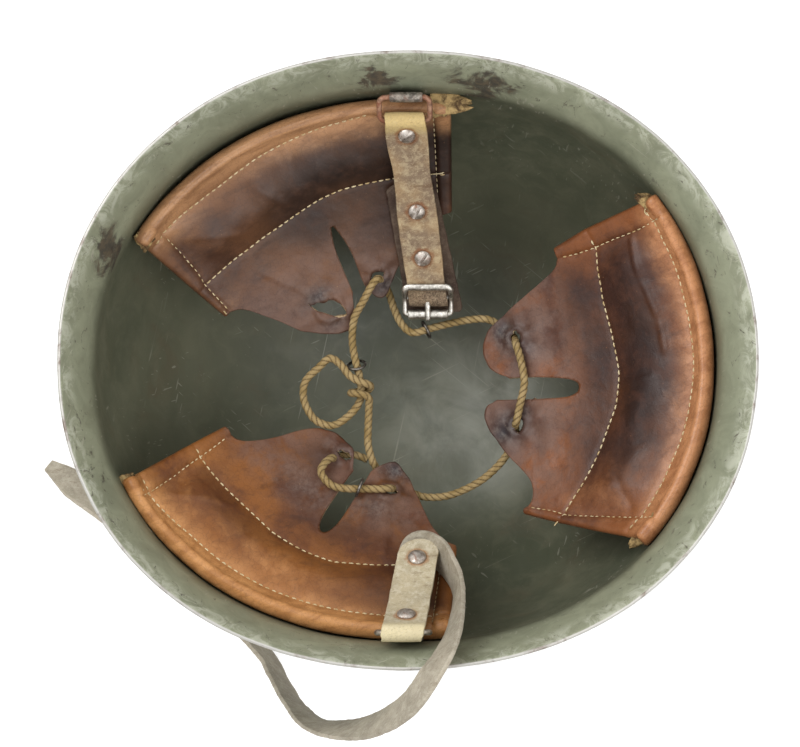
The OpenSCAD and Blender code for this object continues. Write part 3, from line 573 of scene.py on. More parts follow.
LEFT = Pad(
    "left", 241.2, 241.2, 38, 1.9,
    outset=[(-1, 3.2), (-0.6, 1.6), (0, PRESSED), (1, PRESSED)],
    tails=[(-0.98, 0.0, [(-1, 1.5, 0.8), (-2.5, 2.0, 0.6)])],
    outline=[(-1.2, 0.59), (-1.12, 0.59), (-1.01, 0.59), (-0.95, 0.633), (-0.87, 0.726), (-0.81, 0.83),
             (-0.75, 0.9), (-0.65, 0.952), (-0.5, 0.977), (-0.36, 0.965), (-0.24, 0.945), (-0.17, 0.915),
             (-0.11, 0.84), (0.045, 0.84), (0.08, 0.9), (0.15, 0.957), (0.23, 0.996), (0.3, 0.99),
             (0.47, 0.932), (0.6, 0.862), (0.72, 0.768), (0.81, 0.693), (0.9, 0.635), (1.0, 0.58),
             (1.1, 0.58)],
    low_end=[(0, -1.05), (1, -1.17)], high_end=[(0, 1.02), (1, 1.02)],
    low_hem=[(-0.085, -0.95), (0.05, -0.96), (0.19, -0.98), (0.33, -1.01), (0.44, -1.03), (0.58, -1.07)],
    high_hem=[(0, 0.94), (0.6, 0.94)],
    stitch_1=[(-0.95, 0.03), (-0.9, 0.03), (-0.65, 0.05), (0, 0.045), (0.5, 0.052), (0.95, 0.05)],
    stitch_2=[(-1, 0.368), (-0.8, 0.36), (-0.57, 0.35), (-0.43, 0.339), (-0.29, 0.32), (-0.04, 0.307),
              (0.18, 0.309), (0.28, 0.33), (0.45, 0.355), (0.6, 0.381), (0.95, 0.41)],
    slot=[(-0.09, 1.1), (-0.09, 0.6), (-0.075, 0.51), (-0.05, 0.46), (-0.012, 0.44), (0.028, 0.46),
          (0.055, 0.52), (0.065, 0.62), (0.065, 1.1)],
    holes=[(-0.25, 0.888, 3.0), (0.32, 0.82, 3.0)],
    dark=[(0.6, 0.22, 30, 14, 0.5), (-0.5, 0.24, 18, 10, 0.35), (0.1, 0.5, 22, 12, 0.5),
          (-0.47, 0.82, 9, 9, 0.6), (0.35, 0.83, 9, 8, 0.7), (0.8, 0.1, 20, 8, 0.4)],
    tan=[(-0.6, 0.05, 40, 9, 0.8), (-0.2, 0.14, 30, 10, 0.7), (-0.9, 0.3, 12, 20, 0.4),
         (0.3, 0.05, 40, 7, 0.4)],
    stain=[(0.3, 0.95, 9, 7, 0.9), (-0.3, 0.9, 8, 6, 0.6), (-0.3, 0.62, 18, 12, 0.4),
           (0.25, 0.7, 10, 10, 0.5)],
    creases=[(-0.9, 0.1, -0.6, 0.3, 0.4, 1.4), (-0.6, 0.45, -0.45, 0.8, -0.5, 1.6),
             (0.5, 0.4, 0.35, 0.75, 0.5, 1.5)])


def inside(shape, x, y):
    hit = False
    for (x0, y0), (x1, y1) in zip(shape, shape[1:] + shape[:1]):
        if (y0 > y) != (y1 > y) and x < lerp(x0, x1, (y - y0) / (y1 - y0)):
            hit = not hit
    return hit


def nearest_on(shape, x, y):
    best = None
    for (x0, y0), (x1, y1) in zip(shape, shape[1:] + shape[:1]):
        span = (x1 - x0) ** 2 + (y1 - y0) ** 2 or 1e-9
        t = min(1.0, max(0.0, ((x - x0) * (x1 - x0) + (y - y0) * (y1 - y0)) / span))
        px, py = lerp(x0, x1, t), lerp(y0, y1, t)
        d = (px - x) ** 2 + (py - y) ** 2
        if best is None or d < best[0]:
            best = (d, px, py)
    return best[1], best[2]


def rounded_shape(shape):
    """Cuts the corners of a closed outline twice."""
    for _ in range(2):
        shape = [(lerp(x0, x1, t), lerp(y0, y1, t))
                 for (x0, y0), (x1, y1) in zip(shape, shape[1:] + shape[:1]) for t in (0.25, 0.75)]
    return shape


def kept_inside(p):
    """The point, drawn in where it lies in the shell's wall or too near to it."""
    r, limit = math.hypot(p.x, p.y), inner_r(math.degrees(math.atan2(p.x, -p.y)), p.z) - WALL_ROOM
    return Vector((p.x * limit / r, p.y * limit / r, p.z)) if r > limit else p


def leather_rows():
    """Up the back of the plate, over the rolled edge and down the front."""
    return ([("leg", d) for d in (8, 4)] + [("roll", a) for a in range(180, -1, -15)]
            + [("front", i / 104) for i in range(1, 105)])


def leather_columns():
    """From end to end, with both ends turned under as hems."""
    turned = [("under", 7.0), ("under", 3.5), ("bend", 180), ("bend", 135), ("bend", 90), ("bend", 45)]
    return ([(-1, way, d) for way, d in turned] + [(0, "flat", i / 130) for i in range(131)]
            + [(1, way, d) for way, d in reversed(turned)])


def leather_spots(pad, rows, cols):
    """The (s, v) place of each point of the grid."""
    spots = []
    for kind, value in rows:
        for end, way, d in cols:
            share = d if way == "flat" else (end + 1) / 2
            v = 0.0
            s = lerp(along_line(pad.low_end, 0), along_line(pad.high_end, 0), share)
            for _ in range(3 if kind == "front" else 0):
                v = value * pad.length_at(s)
                s = lerp(along_line(pad.low_end, v), along_line(pad.high_end, v), share)
            spots.append((s, v))
    return spots


def cut_outlines(pad):
    """Slot, tear and lace holes as closed lines in the flat leather. The widest hole is the torn one."""
    shapes = [rounded_shape([pad.flat(*p) for p in line]) for line in (pad.slot, pad.torn) if line]
    for s, v, r in pad.holes:
        if r <= WIDEST_HOLE:
            x, y = pad.flat(s, v)
            shapes.append([(x + r * (1.15 + 0.18 * sin(95 * i + 50 * s)) * cos(15 * i),
                            y + 0.8 * r * sin(15 * i) * (1 + 0.15 * cos(75 * i))) for i in range(24)])
    return shapes


def cut_leather(pad, spots, rows, cols):
    """Faces of the grid that lie outside the cuts. Points beside a cut are drawn onto its outline."""
    shapes, n = cut_outlines(pad), len(cols)
    faces, beside = [], {}
    for i in range(len(rows) - 1):
        for j in range(n - 1):
            corners = (i * n + j, i * n + j + 1, (i + 1) * n + j + 1, (i + 1) * n + j)
            cut = None
            if rows[i][0] == "front" and cols[j][1] == cols[j + 1][1] == "flat":
                (s0, v0), (s1, v1) = spots[corners[0]], spots[corners[2]]
                x, y = pad.flat((s0 + s1) / 2, (v0 + v1) / 2)
                cut = next((shape for shape in shapes if inside(shape, x, y)), None)
            if cut is None:
                faces.append(corners)
            else:
                beside.update((c, cut) for c in corners)
    for c, shape in beside.items():
        x, y = nearest_on(shape, *pad.flat(*spots[c]))
        v = y / PAD_LENGTH
        spots[c] = (x / lerp(PAD_HALF_W, TIP_HALF, v), v)
    return faces


def leather_point(pad, row, col, s, v):
    """The middle of the leather in mm at one point of the grid."""
    (kind, value), (end, way, d) = row, col
    back, sunk = 0.0, 0.0
    if way == "bend":
        back, sunk = HEM_R * sin(d), -HEM_R * (1 - cos(d))
    elif way == "under":
        back, sunk = -d, -2 * HEM_R
    there = s + end * back / lerp(PAD_HALF_W, TIP_HALF, v)
    if kind == "front":
        p, normal = pad.skin(there, v)
        return p + sunk * normal
    normal = pad.normal(there, 0)
    angle, drop = (value, 0) if kind == "roll" else (180, value)
    r = ROLL_R + sunk + 0.14 * ripple(s * 60, angle / 30, pad.seed, 14)
    r += (1 + cos(angle)) / 2 * (pad.lift(there, 0) - SKIN_MID)
    return (pad.edge(there) + (SKIN_MID - ROLL_R + r * cos(angle)) * normal
            + Vector((0, 0, r * sin(angle) - drop)))


def way_down(kind, value, v):
    """Distance down the front of the leather, negative over the rolled edge and behind it."""
    if kind == "front":
        return v * PAD_LENGTH
    return -ROLL_L * value / 180 if kind == "roll" else -ROLL_L - value


def make_pad_leather(pad):
    """The leather of one pad, from behind its plate over the rolled edge to its two tongues."""
    rows, cols = leather_rows(), leather_columns()
    spots = leather_spots(pad, rows, cols)
    faces = cut_leather(pad, spots, rows, cols)
    grid = [(row, col, *spots[i * len(cols) + j]) for i, row in enumerate(rows) for j, col in enumerate(cols)]
    points = [kept_inside(leather_point(pad, *point)) for point in grid]
    piece = mesh_piece(pad.word.capitalize() + "_pad_leather", points, faces)
    store(piece, "down", [way_down(*row, v) for row, col, s, v in grid])
    store(piece, "hem", [pad.hem(s, v) + (4 if col[1] != "flat" else 0) for row, col, s, v in grid])
    for word in ("dark", "tan", "stain"):
        store(piece, word, [pad.cover(getattr(pad, word), *pad.flat(s, v)) for s, v in spots])
    on_whole_mesh(piece, bpy.ops.mesh.delete_loose)
    wall = thicken(piece, LEATHER_T)
    wall.material_offset = wall.material_offset_rim = 1
    finished(piece, 60, "helmet", "pad_leather", pad.word + "_pad_leather", pad.word + "_pad_cushion")
    return piece


# A stitch as (share of its length, radius, height over the leather)
THREAD_FORM = [(0.0, 0.14, -0.3), (0.12, 0.30, 0.02), (0.5, 0.36, 0.2), (0.88, 0.30, 0.02), (1.0, 0.14, -0.3)]


def stitch_row(pad, points, over=LEATHER_T / 2, pitch=STITCH_PITCH):
    """Short threads along a line of (s, v) points on the leather."""
    line, normals = [], []
    for (s0, v0), (s1, v1) in zip(points, points[1:]):
        (x0, y0), (x1, y1) = pad.flat(s0, v0), pad.flat(s1, v1)
        count = max(1, round(math.hypot(x1 - x0, y1 - y0) / 0.5))
        for i in range(count):
            p, n = pad.skin(lerp(s0, s1, i / count), lerp(v0, v1, i / count), over)
            line.append(p)
            normals.append(n)
    gone = [0.0]
    for a, b in zip(line, line[1:]):
        gone.append(gone[-1] + (b - a).length)

    def spot(d):
        i = min(len(line) - 2, max(0, next((k for k, g in enumerate(gone) if g > d), len(gone) - 1) - 1))
        t = (d - gone[i]) / max(1e-6, gone[i + 1] - gone[i])
        return line[i].lerp(line[i + 1], t), normals[i], (line[i + 1] - line[i]).normalized()

    rings = []
    d = 0.4
    while d + STITCH_L < gone[-1]:
        shift = 0.12 * ripple(d * 3, 0, pad.seed, 5)
        threads = []
        for share, r, rise in THREAD_FORM:
            p, n, t = spot(d + STITCH_L * share)
            side = t.cross(n)
            p = p + rise * n + shift * (share - 0.5) * side
            threads.append(oval(p, n, side, 0.8 * r, r, 6))
        rings.append(threads)
        d += pitch * (1 + 0.08 * ripple(d * 5, 3, pad.seed, 7))
    return rings


def wire_rings(path, r, sides=8):
    """Rings of a round wire along a path in mm."""
    frames = carried_frames(path, Vector((0.3, 0.1, 1)))
    return [oval(p, f, g, r, sides=sides) for p, (_, f, g) in zip(path, frames)]


def make_stitches(pad):
    """The two rows across the pad, the two hem rows and the loose thread ends."""
    def inner(points):
        lo, hi = along_line(pad.low_end, points[0][1]) + 0.012, along_line(pad.high_end, 0.2) - 0.012
        xs = [lo + (hi - lo) * i / 40 for i in range(41)]
        return [(x, along_line(points, x)) for x in xs]

    bundles = stitch_row(pad, inner(pad.stitch_1))
    bundles += stitch_row(pad, inner(pad.stitch_2), LEATHER_T / 2 + 0.15)
    for hem in (pad.low_hem, pad.high_hem):
        v0, v1 = hem[0][0], pad.length_at(hem[-1][1]) - 0.015
        steps = [lerp(max(0.0, v0), v1, i / 24) for i in range(25)]
        bundles += stitch_row(pad, [(along_line(hem, v), v) for v in steps], pitch=2.9)
    for s, v, ends in pad.tails:
        a, n = pad.skin(s, v, LEATHER_T / 2)
        path = [a] + [a + Vector(e) for e in ends]
        bundles.append(wire_rings(curve_through(path, 0.8), 0.3, 6))
    piece = join_lofts(pad.word.capitalize() + "_pad_stitches", bundles)
    return finished(piece, 60, "helmet", "pad_leather")


def make_flap(name, root, tip, width, curl):
    """A torn scrap of the leather's rough side, from its root at a pad's corner to its tip."""
    start, way = Vector(root), Vector(tip) - Vector(root)
    length = way.length
    way.normalize()
    n = (Vector((0, 0, 1)) - way.z * way).normalized()
    across = n.cross(way)
    seed = root[0] / 20

    def place(x, y):
        t = (y + 1) / 2
        w = width / 2 * (1 - 0.4 * t - 0.4 * t ** 3) * (1 + 0.25 * ripple(x * 4, y * 6, seed, 1.7, 2))
        q = length * t * (1 + 0.2 * ripple(x * 5, 3, seed, 1.9, 4))
        lift = curl * t * t * length - 0.9 * x * x + 0.5 * ripple(x * 3, y * 4, seed, 1.5, 6)
        return start + q * way + x * w * across + lift * n

    piece = sheet_from(name, 14, 18, place)
    thicken(piece, 1.2)
    return finished(piece, 60, "helmet", "pad_leather")


def make_lining(pad):
    """The canvas under the wadding."""
    def place(x, y):
        s = 0.86 * x
        v = lerp(along_line(pad.stitch_1, s) - 0.015, along_line(pad.stitch_2, s) + 0.025, (y + 1) / 2)
        return pad.base(s, v) + (-1.65 + 0.15 * ripple(x * 70, y * 30, 0, 9)) * pad.normal(s, v)

    piece = sheet_from(pad.word.capitalize() + "_pad_lining", 60, 24, place)
    across = sum((place(-1 + i / 30, 0) - place(-1 + (i + 1) / 30, 0)).length for i in range(60))
    thicken(piece, 0.9)
    finished(piece, 60, "helmet", "lining", pad.word + "_pad_lining")
    return piece


def make_plate(pad):
    """The sheet steel plate that hangs in the rolled edge and is riveted to the wall below it."""
    def in_roll(s, z):
        n = pad.normal(s, 0)
        return pad.edge(s) + (SKIN_MID - ROLL_R) * n + Vector((0, 0, z))

    def on_wall(s, z):
        b = pad.bearing + pad.half * s
        return (inner_r(b, PAD_Z + z) - OFF_WALL) * toward(b) + Vector((0, 0, PAD_Z + z))

    # Heights from the pad's edge down, first in its roll and then on the wall
    levels = [(in_roll, 1), (in_roll, -4), (in_roll, -9), (on_wall, -12), (on_wall, -17), (on_wall, -23)]

    def place(x, y):
        f = (1 - y) / 2 * (len(levels) - 1)
        i = min(len(levels) - 2, int(f))
        (a, za), (b, zb) = levels[i], levels[i + 1]
        return a(0.96 * x, za).lerp(b(0.96 * x, zb), f - i)

    piece = sheet_from(pad.word.capitalize() + "_pad_plate", 72, 20, place)
    thicken(piece, 1.0)
    return finished(piece, 60, "helmet", "pad_plates", pad.word + "_pad_plate")


# Straps. s is the distance along a strap from its bar, q the height over its middle line

FIT, LOOP_WIRE, LOOP_W, LOOP_H, STRAP_W, STRAP_T = 0.3, 2.4, 24, 11.6, 17, 2.4
BUCKLE_STRAP_L, LEG_L, GUARD_T = 88, 62, 2
SLEEVE_X, SLEEVE_Z, SLEEVE_R = 113.345, 137, 1.8
BRACKET_W, BRACKET_T = 14, 0.85
RIGHT_LEAN, LEFT_LEAN, LOOP_Y = 131, 0, (0.8, 0.9)
FOLD_R = LOOP_WIRE / 2 + FIT + STRAP_T / 2
LAP_Q = STRAP_T / 2 + FIT / 2
RIGHT_BAR = (SLEEVE_X - LOOP_H * sin(RIGHT_LEAN), SLEEVE_Z + LOOP_H * cos(RIGHT_LEAN))
LEFT_BAR = (SLEEVE_X - LOOP_H * sin(LEFT_LEAN), SLEEVE_Z + LOOP_H * cos(LEFT_LEAN))
RIGHT_SLOPE, LEFT_SLOPE, LEFT_ARC = (48, 26), (67, 36), 60
RIGHT_SKEW, LEFT_SKEW = 0.113, -0.14
RIGHT_Y = LOOP_Y[0] - RIGHT_SKEW * RIGHT_BAR[0]
LEFT_Y = LOOP_Y[1] + LEFT_SKEW * LEFT_BAR[0]
SCREW_S = (5.8, BUCKLE_STRAP_L - 43, BUCKLE_STRAP_L - 20)
LEG_RIVET_S = (11.5, LEG_L - 11)


def arc_slope(slope, length, s):
    return slope[0] - (slope[0] - slope[1]) * s / length


def arc_pt(bar, slope, length, s, q):
    r = length / math.radians(slope[0] - slope[1])
    a = arc_slope(slope, length, s)
    return (bar[0] + r * (sin(a) - sin(slope[0])) - q * sin(a),
            bar[1] - r * (cos(a) - cos(slope[0])) + q * cos(a))


def right_pt(s, q):
    x, z = arc_pt(RIGHT_BAR, RIGHT_SLOPE, BUCKLE_STRAP_L, s, q)
    return Vector((x, RIGHT_Y + RIGHT_SKEW * x, z))


def left_pt(s, q):
    x, z = arc_pt(LEFT_BAR, LEFT_SLOPE, LEFT_ARC, s, q)
    return Vector((-x, LEFT_Y - LEFT_SKEW * x, z))


def right_up(s):
    a = arc_slope(RIGHT_SLOPE, BUCKLE_STRAP_L, s)
    return Vector((-sin(a), 0, cos(a)))


def left_up(s):
    a = arc_slope(LEFT_SLOPE, LEFT_ARC, s)
    return Vector((sin(a), 0, cos(a)))


# Corners of a cut strap's section, rounded a little, as shares of half its width and thickness
SECTION = [(-1, -0.45), (-0.97, -1), (-0.6, -1), (-0.2, -1), (0.2, -1), (0.6, -1), (0.97, -1), (1, -0.45),
           (1, 0.45), (0.97, 1), (0.6, 1), (0.2, 1), (-0.2, 1), (-0.6, 1), (-0.97, 1), (-1, 0.45)]


def strap_section(centre, across, up, width, thick, worn, seed, along):
    """A cut strap's section, slightly uneven in width and thickness."""
    right = width / 2 + 0.28 * ripple(along, seed, 0, 7) + 0.12 * ripple(along, seed, 5, 2.2)
    left = width / 2 + 0.28 * ripple(along, seed + 9, 0, 8) + 0.12 * ripple(along, seed, 8, 2)
    ring = []
    for x, y in SECTION:
        dent = worn * 0.12 * ripple(x * 9 + seed, along, y, 3.2)
        deep = thick / 2 - (0.12 if abs(x) > 0.9 else 0)
        ring.append(centre + x * (right if x > 0 else left) * across + (y * deep + dent) * up)
    return ring


def ribbon(name, stations, worn=1.0, seed=0.0):
    """A strap through stations of (point, across, up, width, thickness)."""
    rings, gone = [], 0.0
    for i, station in enumerate(stations):
        gone += (station[0] - stations[i - 1][0]).length if i else 0
        rings.append(strap_section(*station, worn, seed, gone))
    return loft(name, rings)


def planar_stations(path, width, thick, skew):
    """Stations for a strap whose width, a function of the index, runs along Y."""
    out = []
    for i, p in enumerate(path):
        d = path[min(len(path) - 1, i + 1)] - path[max(0, i - 1)]
        up = Vector((-d.z, 0, d.x)).normalized()
        out.append((p, Vector((0, 1, 0)), Vector((up.x, skew * up.x, up.z)), width(i), thick))
    return out


def fold_pts(s0, first, last):
    """A fold round the bar at s0, between two angles."""
    angles = [lerp(first, last, i / 8) for i in range(9)]
    return [(s0 + FOLD_R * cos(a), FOLD_R * sin(a)) for a in angles]


def strap_path(points, put, step=1.3):
    """Points of a strap in place, with their (s, q) values beside them."""
    flat = curve_through([Vector((s, q, 0)) for s, q in points], step)
    return [put(p.x, p.y) for p in flat], [p.x for p in flat], [p.y for p in flat]


def box_cut(piece, size, matrix):
    """Cuts a block out of a closed piece."""
    nothing_selected()
    bpy.ops.mesh.primitive_cube_add(size=1)
    cutter = bpy.context.object
    cutter.data.transform(matrix @ Matrix.Diagonal((size[0] * MM, size[1] * MM, size[2] * MM, 1)))
    m = piece.modifiers.new("cut", "BOOLEAN")
    m.object, m.operation, m.solver = cutter, "DIFFERENCE", "EXACT"
    only(piece)
    bpy.ops.object.modifier_apply(modifier=m.name)
    bpy.data.objects.remove(cutter)


def in_mm(x, y, z):
    return Matrix.Translation(Vector((x, y, z)) * MM)


# The roller's axis in the buckle's own frame, along the strap and over it
ROLLER = (7.6, 0.7)
AT_BUCKLE = (Matrix.Translation(right_pt(BUCKLE_STRAP_L, 0) * MM)
             @ Matrix.Rotation(math.radians(180 - RIGHT_SLOPE[1]), 4, "Y") @ Matrix.Diagonal((1, 1, -1, 1)))


def buckle_pt(x, y, z):
    return AT_BUCKLE @ (Vector((x, y, z)) * MM) / MM


def make_buckle_strap():
    """The strap folded round the wire loop and the buckle's bar, with a cut for the prong."""
    end = BUCKLE_STRAP_L
    points = ([(22, -LAP_Q), (14, -LAP_Q), (6, -LAP_Q - 0.2)] + fold_pts(0, 262, 98)
              + [(6, LAP_Q + 0.2), (14, LAP_Q), (26, LAP_Q + 0.2), (40, LAP_Q), (54, LAP_Q + 0.1),
                 (70, LAP_Q), (end - 7, LAP_Q + 0.2)] + fold_pts(end, 82, -82)
              + [(end - 7, -LAP_Q - 0.2), (70, -LAP_Q), (54, -LAP_Q), (38, -LAP_Q)])
    path, along, high = strap_path(points, right_pt)

    def width(i):
        s = along[i]
        w = STRAP_W + 0.9 * bump_at(s, 10, 9) - 1.0 * bump_at(s, 26, 10) + 0.6 * bump_at(s, 55, 12) + 0.3
        return w if high[i] > 0 else w - 0.8

    piece = ribbon("Buckle_strap", planar_stations(path, width, STRAP_T, RIGHT_SKEW), 1.4, 4)
    box_cut(piece, (14, 3.4, 16), AT_BUCKLE @ in_mm(2, 0, 0))
    store(piece, "place", nearest_values(piece, path, along))
    store(piece, "halo", halo_of(piece, [right_pt(s, LAP_Q + 1.2) for s in SCREW_S]))
    return finished(piece, 42, "buckle_side", "strap_leather", "buckle_strap")


def nearest_values(piece, path, values):
    """The value of the nearest point of a path for each vertex."""
    return [values[min(range(len(path)), key=lambda i: (path[i] - v.co / MM).length_squared)]
            for v in piece.data.vertices]


def halo_of(piece, centres):
    """Distance in mm from each vertex to the nearest of some points."""
    return [min((v.co / MM - c).length for c in centres) for v in piece.data.vertices]


def make_guard():
    """The leather flap behind the buckle, wider and shifted to the front at its free end."""
    first, last = SCREW_S[1] - 10, SCREW_S[2] + 3
    q = -LAP_Q - STRAP_T / 2 - FIT - GUARD_T / 2
    low = -FOLD_R - STRAP_T / 2 - FIT - GUARD_T / 2
    points = ([(s, q) for s in (first, first + 8, first + 20, last - 10, last)]
              + [(BUCKLE_STRAP_L + s, low) for s in (-4, 2, 8)])
    step = 1.2
    path, _, _ = strap_path(points, right_pt, step)
    total = len(path) - 1
    path = [p + Vector((0, lerp(1.6, -2.4, i / total), 0)) for i, p in enumerate(path)]

    def width(i):
        rounded = (0.62 + 0.38 * smooth(0, 4.5, i * step)) * (0.9 + 0.1 * smooth(0, 2.4, (total - i) * step))
        return lerp(22, 25.5, i / total) * rounded

    piece = ribbon("Buckle_guard", planar_stations(path, width, GUARD_T, RIGHT_SKEW), 1.0, 11)
    return finished(piece, 42, "buckle_side", "guard_leather", "buckle_guard")


def revolve(profile, centre, up, sides=36):
    """Rings of a turned piece, whose profile is (radius, height) over the centre along up."""
    f = up.cross(Vector((0, 1, 0))).normalized()
    g = up.cross(f)
    return [oval(centre + h * up, f, g, max(r, 0.02), sides=sides) for r, h in profile]


# Half the outline of a strap screw's head, as (radius, height)
HEAD = [(0, 1.62), (0.8, 1.58), (1.7, 1.42), (2.6, 1.1), (3.2, 0.74), (3.6, 0.34), (3.65, 0.06), (3.5, 0.0)]


def pinned(name, head, centre, up, foot, foot_r, foot_h):
    """A head on a strap, with its shank down to a flat foot that far below."""
    profile = head + [(1.5, 0.0), (1.5, foot), (foot_r, foot), (foot_r, foot - foot_h), (0, foot - foot_h)]
    piece = loft(name, revolve(profile, centre, up))
    on_whole_mesh(piece, weld, face_outward)
    return piece


def make_screws():
    """Slotted screws through the strap and the guard, with flat buttons behind."""
    made = []
    for i, (s, turn) in enumerate(zip(SCREW_S, (28, 62, 55))):
        up, outer = right_up(s), i == 0
        top = LAP_Q + STRAP_T / 2 + (0.6 if outer else 0.45)
        bottom = -LAP_Q - STRAP_T / 2 - (0.6 if outer else GUARD_T + 0.6)
        piece = pinned("Strap_screw_%d" % (i + 1), HEAD, right_pt(s, top), up, bottom - top, 3, 0.8)
        upright = up.to_track_quat("Z", "Y").to_matrix().to_4x4()
        slot = (Matrix.Translation(right_pt(s, top + 1.6) * MM) @ upright
                @ Matrix.Rotation(math.radians(turn), 4, "Z"))
        box_cut(piece, (9, 1.25, 2.6), slot)
        nodes = ["buckle_screws"] if outer else []
        made.append(finished(piece, 35, "buckle_side", "screws", *nodes))
    return made


def make_leg_rivets():
    """Plain domed rivets through the long strap's fold. The first one ends flush, clear of the bracket."""
    head = [(r * 1.08, h * 1.1) for r, h in HEAD]
    made = []
    for i, s in enumerate(LEG_RIVET_S):
        first = i == 0
        top = LAP_Q + STRAP_T / 2 + 0.4
        bottom = -LAP_Q - STRAP_T / 2 + (0.8 if first else -0.3)
        piece = pinned("Strap_rivet_%d" % (i + 1), head, left_pt(s, top), left_up(s), bottom - top, 2.8, 0.7)
        nodes = ["long_strap_rivets"] if first else []
        made.append(finished(piece, 35, "long_strap", "strap_rivets", *nodes))
    return made


def wire_loop(name, place, lean, body, node):
    """A bent wire loop with rounded corners, slightly uneven."""
    half, r = (LOOP_W - LOOP_WIRE) / 2, 2.9
    corners = [(-half + r, r, r, 180), (half - r, r, r, 270),
               (half - r, LOOP_H - r, r, 0), (-half + r, LOOP_H - r, r, 90)]
    step = 0.8
    line = [Vector((0, y, z)) for y, z in rounded_frame(corners, step)]
    move = Matrix.Translation(place) @ Matrix.Rotation(math.radians(lean), 4, "Y")
    f = Vector((1, 0, 0))
    rings = []
    for i, p in enumerate(line):
        g = (line[(i + 1) % len(line)] - line[i - 1]).normalized().cross(f)
        thick = LOOP_WIRE / 2 * (1 + 0.035 * ripple(i * step, 0, lean, 4))
        sway = 0.25 * ripple(i * step, 3, lean, 9) if p.z > 1.5 else 0
        rings.append([move @ q for q in oval(p + sway * f, f, g, thick)])
    return finished(loft(name, rings, closed=True), 60, body, "loop_wire", node)


def make_bracket(name, side, node):
    """A strip of sheet riveted to the wall, its top curled into a sleeve round the loop's bar."""
    path = [Vector((inner_r(90, z) - 1.05, 0, z)) for z in (100, 106, 112, 118, 124, 129)]
    path += [Vector((SLEEVE_X + SLEEVE_R * cos(a), 0, SLEEVE_Z + SLEEVE_R * sin(a)))
             for a in range(-20, 300, 20)]
    path = curve_through(path, 1.0)
    rings = []
    for i, p in enumerate(path):
        d = path[min(len(path) - 1, i + 1)] - path[max(0, i - 1)]
        up = Vector((-d.z, 0, d.x)).normalized()
        ring = strap_section(p, Vector((0, 1, 0)), up, BRACKET_W, BRACKET_T, 0.1, 30, i)
        rings.append([Vector((side * q.x, q.y, q.z)) for q in ring])
    return finished(loft(name, rings), 45, "helmet", "brackets", node)


def bar_rings(points, r, flat=1.0, up=(0, 1, 0)):
    """Rings of a bent bar through points in mm, flat times as thick toward up as across."""
    rings = []
    for i, p in enumerate(points):
        t = (points[min(len(points) - 1, i + 1)] - points[max(0, i - 1)]).normalized()
        f = (Vector(up) - Vector(up).dot(t) * t).normalized()
        rings.append(oval(p, f, t.cross(f), r * flat, r))
    return rings


def make_buckle():
    """The frame, one bent bar whose heel is raised over the strap, and the centre bar."""
    side, heel, front = 10.3, (-6.6, 4.8), ROLLER
    big, small = 2.2, 1.32
    corners = [(heel[0] + big, -side + big, big, 180), (front[0] - small, -side + small, small, 270),
               (front[0] - small, side - small, small, 0), (heel[0] + big, side - big, big, 90)]
    line = rounded_frame(corners, 0.7)
    level, bend = 0.35, 1.5

    def rise(x):
        end = heel if x < bend else front
        return lerp(level, end[1], smooth(bend, end[0], x))

    points = [buckle_pt(x, y, rise(x)) for x, y in line]
    normal = (AT_BUCKLE.to_3x3() @ Vector((0, 0, 1))).normalized()
    rings = []
    for i, (p, (x, _)) in enumerate(zip(points, line)):
        t = (points[(i + 1) % len(points)] - points[i - 1]).normalized()
        f = (normal - normal.dot(t) * t).normalized()
        at_heel = smooth(-3.5, -6.0, x)
        rings.append(oval(p, f, t.cross(f), lerp(1.1, 0.95, at_heel), lerp(1.15, 1.55, at_heel)))
    bar = [buckle_pt(0, lerp(-side, side, i / 20), 0) for i in range(21)]
    frame_piece = loft("Buckle_frame", rings, closed=True)
    bar_piece = join_lofts("Buckle_centre_bar", [bar_rings(bar, 1.05, up=normal)])
    return (finished(frame_piece, 60, "buckle", "buckle_steel", "buckle_frame"),
            finished(bar_piece, 60, "buckle", "buckle_steel"))


def make_roller():
    """The rolled tube on the front bar, with its seam."""
    half, out, hole = 8.9, 2.2, 1.2
    rings = []
    profile = [(-half, hole), (-half, out - 0.25), (-half + 0.25, out)]
    profile += [(lerp(-half + 0.6, half - 0.6, i / 14), out) for i in range(15)]
    profile += [(half - 0.25, out), (half, out - 0.25), (half, hole)]
    profile += [(lerp(half, -half, i / 8), hole) for i in range(1, 8)]
    centre = buckle_pt(ROLLER[0], 0, ROLLER[1])
    for y, r in profile:
        ring = []
        for j in range(40):
            a = 9 * j
            seam = 0.16 * bump_at((a - 200 + 180) % 360 - 180, 0, 7) if r > hole else 0
            ring.append(centre + Vector(((r - seam) * cos(a), y, (r - seam) * sin(a))))
        rings.append(ring)
    return finished(loft("Buckle_roller", rings, closed=True), 40, "roller", "roller_steel", "buckle_roller")


def make_prong():
    """A bent wire tongue: an eye round the centre bar, a stem through the strap, a tip over the roller."""
    eye = [(1.75 * cos(a), 1.75 * sin(a)) for a in range(-60, 215, 20)]
    stem = [(-1.0, 2.0), (1.0, 3.0), (4, 3.6), (7, 3.95), (9.0, 4.0), (9.6, 3.9)]

    def in_place(line):
        return [buckle_pt(p.x, 0.0, p.z) for p in curve_through([Vector((x, 0, z)) for x, z in line], 0.5)]

    tip = in_place(stem)
    front = bar_rings(tip, 0.82, 1.45)
    front[-1] = [p.lerp(tip[-1], 0.45) for p in front[-1]]
    piece = join_lofts("Buckle_prong", [bar_rings(in_place(eye), 0.75, 1.5), front])
    return finished(piece, 60, "prong", "buckle_steel", "buckle_prong")


